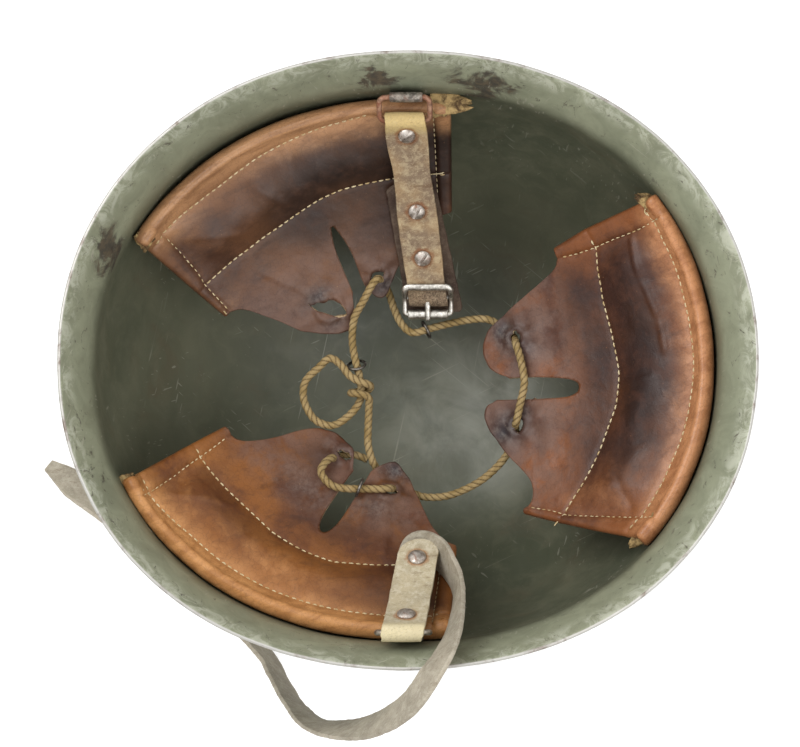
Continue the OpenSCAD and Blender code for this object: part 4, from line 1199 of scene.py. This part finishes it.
def make_left_leg():
    """The long strap's end: folded round the left loop, riveted, with a round tip."""
    points = [(LEG_L - 0.2, LAP_Q), (LEG_L - 6, LAP_Q), (45, LAP_Q + 0.1), (32, LAP_Q), (18, LAP_Q),
              (6, LAP_Q + 0.2)]
    points += fold_pts(0, 98, 262)
    points += [(6, -LAP_Q - 0.2), (18, -LAP_Q), (32, -LAP_Q), (45, -LAP_Q), (LEG_L - 8, -LAP_Q)]
    path, along, high = strap_path(points, left_pt)

    def width(i):
        if high[i] < 0 or along[i] < LEG_L - 9:
            return STRAP_W + (0.8 if high[i] > 0 else -0.4)
        x = (LEG_L - along[i]) / 8.5
        return max(3.0, (STRAP_W + 0.8) * math.sqrt(max(0.0, 1 - (1 - min(1, x)) ** 2)))

    piece = ribbon("Long_strap_fold", planar_stations(path, width, STRAP_T, LEFT_SKEW), 1.2, 21)
    store(piece, "place", [s for s in along for _ in SECTION])
    store(piece, "halo", halo_of(piece, [left_pt(s, LAP_Q + 1.2) for s in LEG_RIVET_S]))
    return finished(piece, 42, "long_strap", "long_strap_leather", "long_strap_fold")


# The long strap's free run as (x, y, z, roll): it lies flat at roll 0 and stands on its edge at 90
RUN_STEP = 1.0
RUN_ROUTE = [
    (-77.5, -5.0, 97.4, 14), (-79.5, -12.5, 103, 46), (-86.0, -17.8, 111.5, 66), (-94, -21, 123, 76),
    (-104.5, -21, 139, 74), (-116, -18.5, 158, 68), (-128, -12.5, 170.5, 62), (-141.5, -2.5, 163, 60),
    (-150.5, 11.5, 140, 62), (-154.5, 27.5, 110, 70), (-153.5, 43, 78, 78), (-146.5, 54.5, 50, 80),
    (-137, 63, 30, 77), (-124.5, 72, 16, 75), (-105, 92, 10.5, 75), (-80, 122, 9.5, 72), (-58, 148, 9, 60),
    (-44, 165, 6, 35), (-36, 177, 3.5, 15)]


def make_run():
    """The free run of the long strap, over the rim and down to the table on its edge."""
    start, ahead = left_pt(LEG_L - 7.4, -LAP_Q), left_pt(LEG_L - 4, -LAP_Q - 0.8)
    knots = [(start, 0), (ahead, 4)] + [(Vector(p[:3]), p[3]) for p in RUN_ROUTE]
    points = curve_through([p for p, _ in knots], RUN_STEP)
    rolls = []
    for (a, roll_a), (b, roll_b) in zip(knots, knots[1:]):
        count = max(1, round((b - a).length / RUN_STEP))
        rolls += [lerp(roll_a, roll_b, k / count) for k in range(count)]
    rolls.append(knots[-1][1])
    last = len(points) - 1
    for _ in range(4):
        rolls = [sum(rolls[max(0, min(last, i + k))] for k in range(-5, 6)) / 11 if i else rolls[0]
                 for i in range(last + 1)]
        points = [sum((points[i + k] for k in range(-2, 3)), Vector()) / 5 if 3 < i < last - 2 else points[i]
                  for i in range(last + 1)]
    stations = []
    for i, p in enumerate(points):
        t = (points[min(last, i + 1)] - points[max(0, i - 1)]).normalized()
        side = Vector((0, 1, 0)) if i == 0 else Vector((0, 0, 1)).cross(t).normalized()
        side = Vector((0, 1, 0)).lerp(side, min(1.0, i * RUN_STEP / 10)).normalized()
        across = cos(rolls[i]) * side + sin(rolls[i]) * t.cross(side)
        up = across.cross(t).normalized() * -1
        width = STRAP_W * min(1, 0.35 + 0.65 * smooth(-2, 22, (last - i) * RUN_STEP))
        stations.append((p, across, up, width, STRAP_T * 0.9))
    piece = ribbon("Long_strap_run", stations, 1.6, 33)
    shade(piece, 42)
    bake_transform(piece)
    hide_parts("long_strap_run")
    return piece


def make_ring(name, place, axis, body, node):
    """A bent wire ring with a small gap where its ends meet."""
    centre, axis = Vector(place), Vector(axis).normalized()
    f = axis.cross(Vector((0, 0, 1))).normalized()
    g = axis.cross(f)
    ways = [cos(a) * f + sin(a) * g for a in range(6, 356, 8)]
    rings = [oval(centre + RING_R * way, axis, way, RING_WIRE_R, sides=10) for way in ways]
    return finished(join_lofts(name, [rings]), 60, body, "ring_wire", node)


shell = make_shell()
pads = {pad.word: make_pad_leather(pad) for pad in (FRONT, RIGHT, LEFT)}
stitches = [make_stitches(pad) for pad in (FRONT, RIGHT, LEFT)]
linings = [make_lining(pad) for pad in (FRONT, RIGHT, LEFT)]
plates = [make_plate(pad) for pad in (FRONT, RIGHT, LEFT)]
flaps = [
    make_flap("Front_flap_high", (67.5, -107.5, 126.0), (71.5, -98.0, 127.5), 8, 0.15),
    make_flap("Front_flap_low", (-69.0, -103.5, 124.0), (-77.0, -94.0, 122.5), 9, -0.1),
    make_flap("Front_flap_edge", (-65.5, -106.5, 126.0), (-69.5, -102.5, 127.0), 7, 0.1),
    make_flap("Right_flap_high", (113.5, -9.5, 126.0), (111.5, -27.5, 128.5), 13, 0.1),
    make_flap("Right_flap_low", (52.5, 110.5, 125.0), (56.6, 116.5, 126.0), 8, 0.1),
    make_flap("Left_flap_high", (-51.0, 121.8, 126.0), (-47.0, 116.8, 127.0), 7, 0.1)]
buckle_strap = make_buckle_strap()
guard = make_guard()
screws = make_screws()
leg_rivets = make_leg_rivets()
right_loop = wire_loop("Right_wire_loop", (SLEEVE_X, LOOP_Y[0], SLEEVE_Z), -RIGHT_LEAN,
                       "right_loop", "right_wire_loop")
left_loop = wire_loop("Left_wire_loop", (-SLEEVE_X, LOOP_Y[1], SLEEVE_Z), LEFT_LEAN,
                      "helmet", "left_wire_loop")
right_bracket = make_bracket("Right_bracket", 1, "right_bracket")
left_bracket = make_bracket("Left_bracket", -1, "left_bracket")
buckle_frame, centre_bar = make_buckle()
roller = make_roller()
prong = make_prong()
left_leg = make_left_leg()
run = make_run()
rings = [
    make_ring("Knot_ring", (5, 25, 72.6), (1, 0.15, 0.7), "knot_ring_body", "knot_ring"),
    make_ring("Right_ring", (21.5, -6, 66.5), (-0.5, 1, 0.1), "right_ring_body", "right_ring"),
    make_ring("Left_ring", (-50.4, 23, 83.6), (0.4, 1, 0.1), "helmet", "left_ring")]


# Finishes

def tone(r, g, b):
    """A colour as the eye reads it, 0 to 255 and more than 10, for a shader."""
    return tuple(((c / 255 + 0.055) / 1.055) ** 2.4 for c in (r, g, b)) + (1.0,)


class Finish:
    """One procedural finish. Patterns read object coordinates; sizes are in mm, colours 0 to 255."""

    def __init__(self, name, roughness=0.6, metallic=0.0, specular=0.5):
        self.mat = bpy.data.materials.new(name)
        self.mat.use_nodes = True
        self.nodes, self.links = self.mat.node_tree.nodes, self.mat.node_tree.links
        self.shader = self.nodes["Principled BSDF"]
        self.shader.inputs["Roughness"].default_value = roughness
        self.shader.inputs["Metallic"].default_value = metallic
        self.shader.inputs["Specular IOR Level"].default_value = specular
        self.space = self.nodes.new("ShaderNodeTexCoord").outputs["Object"]

    def set(self, socket, value):
        """Joins a socket to another one, or gives it a number or a colour."""
        if isinstance(value, bpy.types.NodeSocket):
            self.links.new(value, socket)
        else:
            socket.default_value = tone(*value) if isinstance(value, tuple) else value

    def stretched(self, scale=(1, 1, 1), turn=(0, 0, 0), move=(0, 0, 0)):
        """Space turned first and then scaled, so that streaks may run in any direction."""
        n = self.nodes.new("ShaderNodeMapping")
        n.vector_type = "TEXTURE"
        n.inputs["Location"].default_value = move
        n.inputs["Rotation"].default_value = [math.radians(t) for t in turn]
        n.inputs["Scale"].default_value = [1.0 / k for k in scale]
        self.links.new(self.space, n.inputs["Vector"])
        return n.outputs["Vector"]

    def cloud(self, size, detail=4.0, rough=0.55, warp=0.0, space=None):
        """Noise with features of about that size in mm."""
        n = self.nodes.new("ShaderNodeTexNoise")
        self.links.new(space or self.space, n.inputs["Vector"])
        n.inputs["Scale"].default_value = 1000.0 / size
        n.inputs["Detail"].default_value = detail
        n.inputs["Roughness"].default_value = rough
        n.inputs["Distortion"].default_value = warp
        return n.outputs["Fac"]

    def cells(self, size, space):
        """Distance to the edges of cells of about that size in mm."""
        n = self.nodes.new("ShaderNodeTexVoronoi")
        n.feature = "DISTANCE_TO_EDGE"
        self.links.new(space, n.inputs["Vector"])
        n.inputs["Scale"].default_value = 1000.0 / size
        return n.outputs["Distance"]

    def distance(self, place):
        """Distance in metres from a place."""
        n = self.nodes.new("ShaderNodeVectorMath")
        n.operation = "DISTANCE"
        self.links.new(self.space, n.inputs[0])
        n.inputs[1].default_value = place
        return n.outputs["Value"]

    def bent(self, space, size, reach):
        """Space pushed about by noise, in metres, so that patterns lose their straight lines."""
        n = self.nodes.new("ShaderNodeTexNoise")
        self.links.new(space, n.inputs["Vector"])
        n.inputs["Scale"].default_value = 1000.0 / size
        n.inputs["Detail"].default_value = 3
        add = self.nodes.new("ShaderNodeVectorMath")
        add.operation = "MULTIPLY_ADD"
        self.links.new(n.outputs["Color"], add.inputs[0])
        add.inputs[1].default_value = (reach * 2,) * 3
        self.links.new(space, add.inputs[2])
        return add.outputs["Vector"]

    def scratches(self):
        """Thin stray lines in several directions, denser in the bowl."""
        total = None
        for turn, size in ((25, 0.9), (78, 1.1), (140, 1.0)):
            space = self.bent(self.stretched(scale=(1, 0.012, 0.2), turn=(0, 0, turn)), 30, 0.002)
            line = self.step(self.cloud(size, 0, 0.5, 0.0, space), 0.775, 0.80)
            total = line if total is None else self.calc("MAXIMUM", total, line)
        return self.times(total, self.step(self.cloud(35, 3, 0.6), 0.46, 0.6))

    def mark(self, name):
        """A number stored on the mesh."""
        n = self.nodes.new("ShaderNodeAttribute")
        n.attribute_name = name
        return n.outputs["Fac"]

    def ramp(self, value, *stops):
        """Levels along a value: (place, level) pairs."""
        n = self.nodes.new("ShaderNodeValToRGB")
        self.links.new(value, n.inputs["Fac"])
        marks = n.color_ramp.elements
        while len(marks) < len(stops):
            marks.new(0.5)
        for mark, (place, level) in zip(marks, stops):
            mark.position = place
            mark.color = (level, level, level, 1.0)
        return n.outputs["Color"]

    def step(self, value, low, high):
        """0 where the value is under low, 1 over high."""
        n = self.nodes.new("ShaderNodeMapRange")
        n.interpolation_type = "SMOOTHSTEP"
        self.links.new(value, n.inputs["Value"])
        n.inputs["From Min"].default_value, n.inputs["From Max"].default_value = low, high
        return n.outputs["Result"]

    def mix(self, share, a, b):
        """The colour a with that share of b."""
        n = self.nodes.new("ShaderNodeMix")
        n.data_type = "RGBA"
        self.set(n.inputs["Factor"], share)
        self.set(n.inputs["A"], a)
        self.set(n.inputs["B"], b)
        return n.outputs["Result"]

    def calc(self, way, a, b):
        n = self.nodes.new("ShaderNodeMath")
        n.operation = way
        self.set(n.inputs[0], a)
        self.set(n.inputs[1], b)
        return n.outputs["Value"]

    def times(self, a, b):
        return self.calc("MULTIPLY", a, b)

    def plus(self, a, b):
        return self.calc("ADD", a, b)

    def less(self, a, b):
        return self.calc("SUBTRACT", a, b)

    def over(self, share, colour, amount=None):
        """Lays a colour over the body colour by a share, times an amount if one is given."""
        if amount is not None:
            share = self.times(share, amount)
        self.body = self.mix(share, self.body, colour)

    def done(self):
        """The material with its body colour."""
        self.set(self.shader.inputs["Base Color"], self.body)
        return self.mat

    def rough(self, value):
        self.set(self.shader.inputs["Roughness"], value)

    def metal(self, value):
        self.set(self.shader.inputs["Metallic"], value)

    def relief(self, height, depth_mm, strength=1.0):
        """A bump of that depth in mm on top of the reliefs added before."""
        n = self.nodes.new("ShaderNodeBump")
        n.inputs["Strength"].default_value = strength
        n.inputs["Distance"].default_value = depth_mm * MM
        self.links.new(height, n.inputs["Height"])
        before = self.shader.inputs["Normal"].links
        if before:
            self.links.new(before[0].from_socket, n.inputs["Normal"])
        self.links.new(n.outputs["Normal"], self.shader.inputs["Normal"])

# Bare rusty patches by the pads' ends: place and reach, in metres
RUSTY_PATCHES = [((0.1125, -0.030, 0.144), 0.015), ((0.116, 0.012, 0.146), 0.010),
                 ((0.046, 0.124, 0.142), 0.012), ((-0.098, -0.062, 0.150), 0.008),
                 ((-0.040, 0.128, 0.150), 0.007)]
BOWL_BOTTOM = (-0.014, -0.024, 0.004)


def shell_paint():
    """Olive paint: matt and dirty in the bowl, worn pale and chipped toward the raw edge."""
    f = Finish("Olive_shell_paint", roughness=0.5)
    rim = f.mark("from_rim")
    broad, mid, fine = f.cloud(75, 5, 0.6, 0.6), f.cloud(14, 6, 0.65, 0.8), f.cloud(3.2, 5, 0.7)
    f.body = f.mix(f.step(broad, 0.32, 0.68), (78, 82, 65), (98, 99, 80))
    f.over(f.step(mid, 0.42, 0.72), (112, 111, 91), 0.5)
    f.over(f.step(f.cloud(40, 6, 0.7, 1.2), 0.52, 0.75), (96, 80, 60), 0.35)
    # The bowl's bottom is painted pale: paint worn by rubbing, and a painted highlight
    bowl = f.step(f.distance(BOWL_BOTTOM), 0.062, 0.012)
    f.over(f.times(bowl, f.step(f.cloud(26, 5, 0.6, 0.5), 0.25, 0.7)), (160, 161, 146), 0.72)
    # The skirt is painted lighter, with darker chips
    lighter_skirt = f.times(f.step(rim, SKIRT_L, 20), f.ramp(mid, (0.3, 0.55), (0.65, 1.0)))
    f.over(lighter_skirt, (150, 154, 130), 0.85)
    pale = f.times(f.step(rim, 12, 3), f.step(f.cloud(9, 6, 0.75, 1.0), 0.42, 0.62))
    f.over(pale, (190, 192, 174), 0.7)
    chips = f.times(f.step(f.cloud(8, 7, 0.78, 1.6), 0.585, 0.64), f.step(rim, SKIRT_L, 16))
    f.over(chips, f.mix(f.step(f.cloud(2.5, 4, 0.7), 0.4, 0.6), (58, 50, 42), (98, 92, 80)), 0.85)
    for at, reach in RUSTY_PATCHES:
        near = f.step(f.plus(f.distance(at), f.times(f.less(mid, 0.5), 0.05)), reach, reach * 0.45)
        f.over(near, f.mix(f.step(fine, 0.42, 0.62), (52, 44, 42), (84, 70, 56)), 0.85)
    f.over(f.step(f.cloud(1.6, 3, 0.7), 0.70, 0.76), (150, 146, 128), 0.6)
    f.over(f.scratches(), (168, 166, 150), 0.42)
    # Bare metal along the very edge
    raw = f.step(f.plus(rim, f.times(f.less(mid, 0.5), 1.2)), 0.6, 0.2)
    f.over(raw, f.mix(f.step(mid, 0.3, 0.5), (118, 104, 92), (184, 182, 176)))
    f.metal(f.times(raw, 0.6))
    f.rough(f.ramp(f.cloud(20, 6, 0.7), (0.3, 0.36), (0.7, 0.6)))
    f.relief(f.cloud(1.0, 3, 0.6), 0.05, 0.5)
    f.relief(chips, 0.12, -0.6)
    return f.done()


def steel(name, dark, light, rust, rusty=0.5, metallic=1.0):
    """Steel with a fine grain, and rust over more of it the higher rusty is."""
    f = Finish(name, metallic=metallic)
    worn = f.step(f.cloud(4.4, 6, 0.72, 0.6), 0.62 - 0.28 * rusty, 0.82 - 0.28 * rusty)
    f.body = f.mix(f.step(f.cloud(2.0, 5, 0.65), 0.35, 0.65), dark, light)
    f.over(worn, rust)
    f.rough(f.ramp(f.cloud(2.8, 5, 0.7), (0.3, 0.26 + 0.2 * rusty), (0.7, 0.5 + 0.3 * rusty)))
    f.metal(f.ramp(worn, (0.2, metallic), (0.8, 0.1)))
    f.relief(f.cloud(0.7, 4, 0.7), 0.05, 0.6)
    f.relief(worn, 0.05, 0.6)
    return f.done()


def pad_leather(word, tan, orange, mid, dark, seed):
    """Oiled leather: tan where worn by rubbing at the rolled edge, with a painted highlight there too, nearly
    black with sweat in the middle.
    """
    f = Finish(word + "_pad_leather", roughness=0.4, specular=0.3)
    space = f.stretched(move=(seed * 0.1, seed * 0.07, 0))
    soft = f.bent(space, 14, 0.004)
    broad, middle = f.cloud(26, 4, 0.5, 0, soft), f.cloud(9, 5, 0.6, 0, soft)
    small, fine = f.cloud(3, 5, 0.65, 0, space), f.cloud(1.1, 4, 0.7, 0, space)
    streaks = f.cloud(5, 5, 0.65, 0.3, f.stretched(scale=(1, 0.18, 1), turn=(0, 0, 25 + 60 * seed)))
    down = f.mark("down")
    f.body = f.mix(f.step(broad, 0.36, 0.64), mid, orange)
    f.over(f.step(middle, 0.5, 0.72), orange, 0.35)
    f.over(f.step(streaks, 0.5, 0.3), dark, 0.35)
    # Greyish pink on the tongues, where the polish has gone
    f.over(f.times(f.step(down, 42, 66), f.step(middle, 0.3, 0.6)), (110, 84, 72), 0.7)
    # The tan tone is rubbed wear, set brighter so that it also gives a painted highlight on the rolled edge
    rubbed_tan_and_highlight = f.times(f.mark("tan"), f.ramp(middle, (0.3, 0.55), (0.65, 1.0)))
    f.over(rubbed_tan_and_highlight, f.mix(f.times(f.step(middle, 0.3, 0.75), 0.6), orange, tan))
    deep = f.times(f.mark("dark"), f.ramp(f.plus(broad, middle), (0.7, 0.86), (1.1, 1.0)))
    f.over(deep, f.mix(f.step(middle, 0.42, 0.7), dark, f.mix(0.4, dark, mid)))
    # Painted highlight: the rolled edge gets the tan tone, brighter than its rubbed wear alone
    uneven = f.times(f.less(f.times(f.plus(broad, middle), 0.5), 0.5), 22.0)
    edge = f.step(f.plus(down, uneven), 12.0, -1.0)
    f.over(edge, f.mix(f.step(streaks, 0.36, 0.6), f.mix(0.5, tan, orange), tan), 0.92)
    stain = f.times(f.mark("stain"), f.ramp(middle, (0.3, 0.55), (0.6, 1.0)))
    f.over(stain, f.mix(f.step(small, 0.4, 0.62), (38, 38, 44), (92, 88, 86)))
    cracks = f.step(f.cells(2.6, f.bent(space, 2.0, 0.001)), 0.06, 0.0)
    f.over(cracks, dark, 0.22)
    f.over(f.step(f.cloud(1.5, 3, 0.7, 0, space), 0.7, 0.76), tan, 0.35)
    hem = f.times(f.step(f.mark("hem"), 3.2, 4.6), f.less(1.0, f.mark("dark")))
    f.over(f.times(hem, f.ramp(small, (0.35, 0.1), (0.6, 0.6))), orange)
    # The rolled edge is polished by handling
    f.rough(f.less(f.ramp(middle, (0.3, 0.34), (0.7, 0.50)), f.times(edge, 0.12)))
    f.relief(f.cells(0.8, space), 0.04, 0.5)
    f.relief(fine, 0.10, 0.5)
    f.relief(cracks, 0.08, -0.6)
    f.relief(f.cloud(7, 4, 0.55, 0.3, soft), 0.8, 0.4)
    return f.done()


def rough_side(name, pale, dark, size=2.2):
    """The leather's rough inner side and its cut edges."""
    f = Finish(name, roughness=0.9, specular=0.2)
    f.body = f.mix(f.step(f.cloud(size, 6, 0.75, 0.3), 0.36, 0.64), dark, pale)
    f.relief(f.cloud(0.6, 5, 0.8), 0.16, 0.8)
    return f.done()


def strap_hide(name, grey, tan, pale, fold=None, halo_tone=None, grime=None, worn_from=None):
    """Worn strap leather: scuffed and greyed, cracked across, grimy, with rust round the screws.

    fold is (from, to, colour) and worn_from a place, in mm along the strap."""
    f = Finish(name, roughness=0.8, specular=0.2)
    space = f.bent(f.space, 6, 0.0012)
    broad, mottled = f.cloud(16, 4, 0.55, 0, space), f.cloud(3.4, 6, 0.7, 0, space)
    fine = f.cloud(0.9, 4, 0.75)
    f.body = f.mix(f.step(broad, 0.38, 0.62), grey, tan)
    f.over(f.step(mottled, 0.44, 0.64), pale, 0.4)
    lines = f.step(f.cloud(2.2, 5, 0.7, 0.3, f.stretched(scale=(1, 0.16, 1), turn=(0, 0, 8))), 0.42, 0.33)
    f.over(lines, grime or grey, 0.55)
    if grime:
        f.over(f.step(f.cloud(6, 6, 0.7, 0.5), 0.54, 0.72), grime, 0.38)
    if fold:
        low, high, colour = fold
        band = f.step(f.plus(f.mark("place"), f.times(mottled, 3.0)), high, low)
        f.over(f.times(band, f.ramp(fine, (0.3, 0.55), (0.6, 1.0))), colour)
    if worn_from:
        worn = f.step(f.plus(f.mark("place"), f.times(mottled, 4.0)), worn_from, worn_from + 5)
        f.over(worn, f.mix(f.step(fine, 0.4, 0.6), (52, 40, 32), grey), 0.75)
    if halo_tone:
        ring = f.step(f.plus(f.mark("halo"), f.times(f.less(mottled, 0.5), 3.4)), 6.0, 4.0)
        f.over(ring, halo_tone, 0.7)
    grain = f.cloud(0.7, 5, 0.85, 0.4, f.stretched(scale=(1, 0.4, 1), turn=(0, 0, 30)))
    f.over(f.step(grain, 0.54, 0.70), (80, 63, 46), 0.6)
    f.over(f.step(grain, 0.46, 0.32), pale, 0.55)
    f.rough(f.ramp(mottled, (0.3, 0.66), (0.7, 0.92)))
    f.relief(mottled, 0.25, 0.6)
    f.relief(lines, 0.15, -0.6)
    f.relief(grain, 0.22, 0.8)
    return f.done()


def twisted_cord():
    """Waxed cord, with painted shade in the grooves between its strands."""
    f = Finish("Yellow_lace_cord", roughness=0.85, specular=0.2)
    light = f.mix(f.step(f.cloud(7, 5, 0.7, 0.6), 0.35, 0.62), (134, 112, 70), (160, 138, 98))
    # Painted shade: the cord is darkened where the strand mark is low, in the grooves between strands
    f.body = f.mix(f.ramp(f.mark("strand"), (0.15, 0.0), (0.7, 1.0)), (74, 58, 36), light)
    f.relief(f.cloud(0.45, 3, 0.7), 0.12, 0.8)
    return f.done()


def thread():
    f = Finish("Cream_thread", roughness=0.8, specular=0.2)
    f.body = f.mix(f.step(f.cloud(4, 5, 0.7), 0.35, 0.6), (172, 146, 102), (206, 190, 154))
    f.relief(f.cloud(0.3, 3, 0.7), 0.05, 0.6)
    return f.done()


GREEN = shell_paint()
# The first tone of each is the rubbed tan, raised to give a painted highlight on the rolled edge
leathers = {
    "front": pad_leather("Front", (190, 134, 92), (128, 76, 42), (80, 48, 35), (34, 22, 20), 0),
    "right": pad_leather("Right", (184, 138, 98), (112, 75, 50), (78, 52, 39), (32, 23, 20), 3),
    "left": pad_leather("Left", (194, 140, 88), (132, 82, 40), (90, 52, 31), (44, 29, 25), 6)}
SUEDE = rough_side("Rough_leather_side", (208, 186, 148), (140, 112, 82))
TORN = rough_side("Torn_leather", (170, 144, 98), (72, 54, 36), 5.0)
THREAD = thread()
CANVAS = rough_side("Lining_canvas", (160, 146, 118), (120, 104, 80))
RUSTY = steel("Rusty_steel", (88, 82, 76), (158, 150, 140), (104, 76, 60), 0.55, 0.7)
PLATE = steel("Plate_steel", (60, 58, 50), (92, 88, 76), (84, 58, 42), 0.6, 0.4)
COPPER = steel("Rusted_wire", (128, 98, 80), (176, 138, 114), (126, 76, 52), 0.7, 0.5)
GREY_WIRE = steel("Grey_wire", (120, 112, 102), (186, 178, 166), (112, 72, 50), 0.45, 0.8)
BRIGHT = steel("Bright_buckle_steel", (150, 146, 138), (222, 218, 210), (120, 90, 66), 0.18, 1.0)
PAINTED_STEEL = steel("Painted_rivet_steel", (74, 78, 62), (96, 98, 80), (88, 66, 50), 0.35, 0.0)
SCREW = steel("Screw_steel", (146, 136, 126), (206, 198, 190), (124, 82, 58), 0.4, 0.8)
DARK_WIRE = steel("Dark_ring_wire", (70, 66, 62), (130, 124, 116), (80, 58, 44), 0.4, 0.9)
WORN_STRAP = strap_hide(
    "Worn_strap_leather", (126, 107, 88), (152, 128, 98), (200, 184, 150), fold=(2.0, 8.5, (194, 170, 116)),
    halo_tone=(124, 76, 46), grime=(104, 80, 60), worn_from=BUCKLE_STRAP_L - 6)
GUARD = strap_hide("Guard_leather", (66, 52, 45), (84, 68, 57), (118, 104, 90))
LEG = strap_hide(
    "Pale_leg_leather", (172, 160, 134), (186, 173, 144), (218, 211, 190), fold=(1.0, 8.0, (208, 195, 158)),
    halo_tone=(150, 92, 44), grime=(134, 118, 92))
RUN = strap_hide(
    "Pale_strap_leather", (150, 142, 126), (170, 161, 144), (196, 189, 172), grime=(128, 116, 98))

for piece, *materials in (
        [(shell, GREEN), (lace, twisted_cord())]
        + [(pads[w], leathers[w], SUEDE) for w in pads]
        + [(p, THREAD) for p in stitches] + [(p, CANVAS) for p in linings] + [(p, PLATE) for p in plates]
        + [(p, TORN) for p in flaps]
        + [(buckle_strap, WORN_STRAP), (guard, GUARD), (left_leg, LEG), (run, RUN), (right_loop, COPPER),
           (left_loop, GREY_WIRE), (right_bracket, RUSTY), (left_bracket, RUSTY), (buckle_frame, BRIGHT),
           (centre_bar, BRIGHT), (roller, BRIGHT), (prong, BRIGHT)]
        + [(p, SCREW) for p in screws + leg_rivets] + [(p, DARK_WIRE) for p in rings]):
    paint(piece, *materials)
paint(cad["liner_rivets"], PAINTED_STEEL)


# Floor and light

def lay_floor():
    nothing_selected()
    bpy.ops.mesh.primitive_plane_add(size=12, location=(0, 0, 0))
    floor = bpy.context.object
    floor.name = "Floor"
    mat = bpy.data.materials.new("White_table")
    mat.use_nodes = True
    nodes, links = mat.node_tree.nodes, mat.node_tree.links
    shader = nodes["Principled BSDF"]
    shader.inputs["Base Color"].default_value = (0.9, 0.9, 0.9, 1)
    shader.inputs["Roughness"].default_value = 0.9
    shader.inputs["Emission Color"].default_value = (1, 1, 1, 1)
    path = nodes.new("ShaderNodeLightPath")
    seen = nodes.new("ShaderNodeMath")
    seen.operation = "MULTIPLY"
    links.new(path.outputs["Is Camera Ray"], seen.inputs[0])
    seen.inputs[1].default_value = 0.25
    links.new(seen.outputs[0], shader.inputs["Emission Strength"])
    paint(floor, mat)


def light_the_room():
    world = bpy.context.scene.world or bpy.data.worlds.new("Room")
    bpy.context.scene.world = world
    world.use_nodes = True
    nodes, links = world.node_tree.nodes, world.node_tree.links
    ground = nodes["Background"]
    ground.inputs["Color"].default_value = (1, 1, 1, 1)
    path = nodes.new("ShaderNodeLightPath")
    seen = nodes.new("ShaderNodeMath")
    seen.operation = "MAXIMUM"
    links.new(path.outputs["Is Camera Ray"], seen.inputs[0])
    links.new(path.outputs["Is Glossy Ray"], seen.inputs[1])
    both = nodes.new("ShaderNodeMath")
    both.operation = "MAXIMUM"
    links.new(seen.outputs[0], both.inputs[0])
    links.new(path.outputs["Is Transmission Ray"], both.inputs[1])
    level = nodes.new("ShaderNodeMapRange")
    links.new(both.outputs[0], level.inputs["Value"])
    level.inputs["To Min"].default_value, level.inputs["To Max"].default_value = 0.85, 1.0
    links.new(level.outputs["Result"], ground.inputs["Strength"])
    for place, size, watts in (((0.40, 0.60, 1.15), 0.8, 10.0), ((-0.45, -0.55, 1.0), 0.8, 5.0)):
        bpy.ops.object.light_add(type="AREA", location=place)
        lamp = bpy.context.object
        lamp.data.size, lamp.data.energy = size, watts
        lamp.rotation_euler = (Vector(place) - Vector((0, 0, 0.08))).to_track_quat("Z", "Y").to_euler()


lay_floor()
light_the_room()

scene = bpy.context.scene
scene.view_settings.view_transform = "Standard"
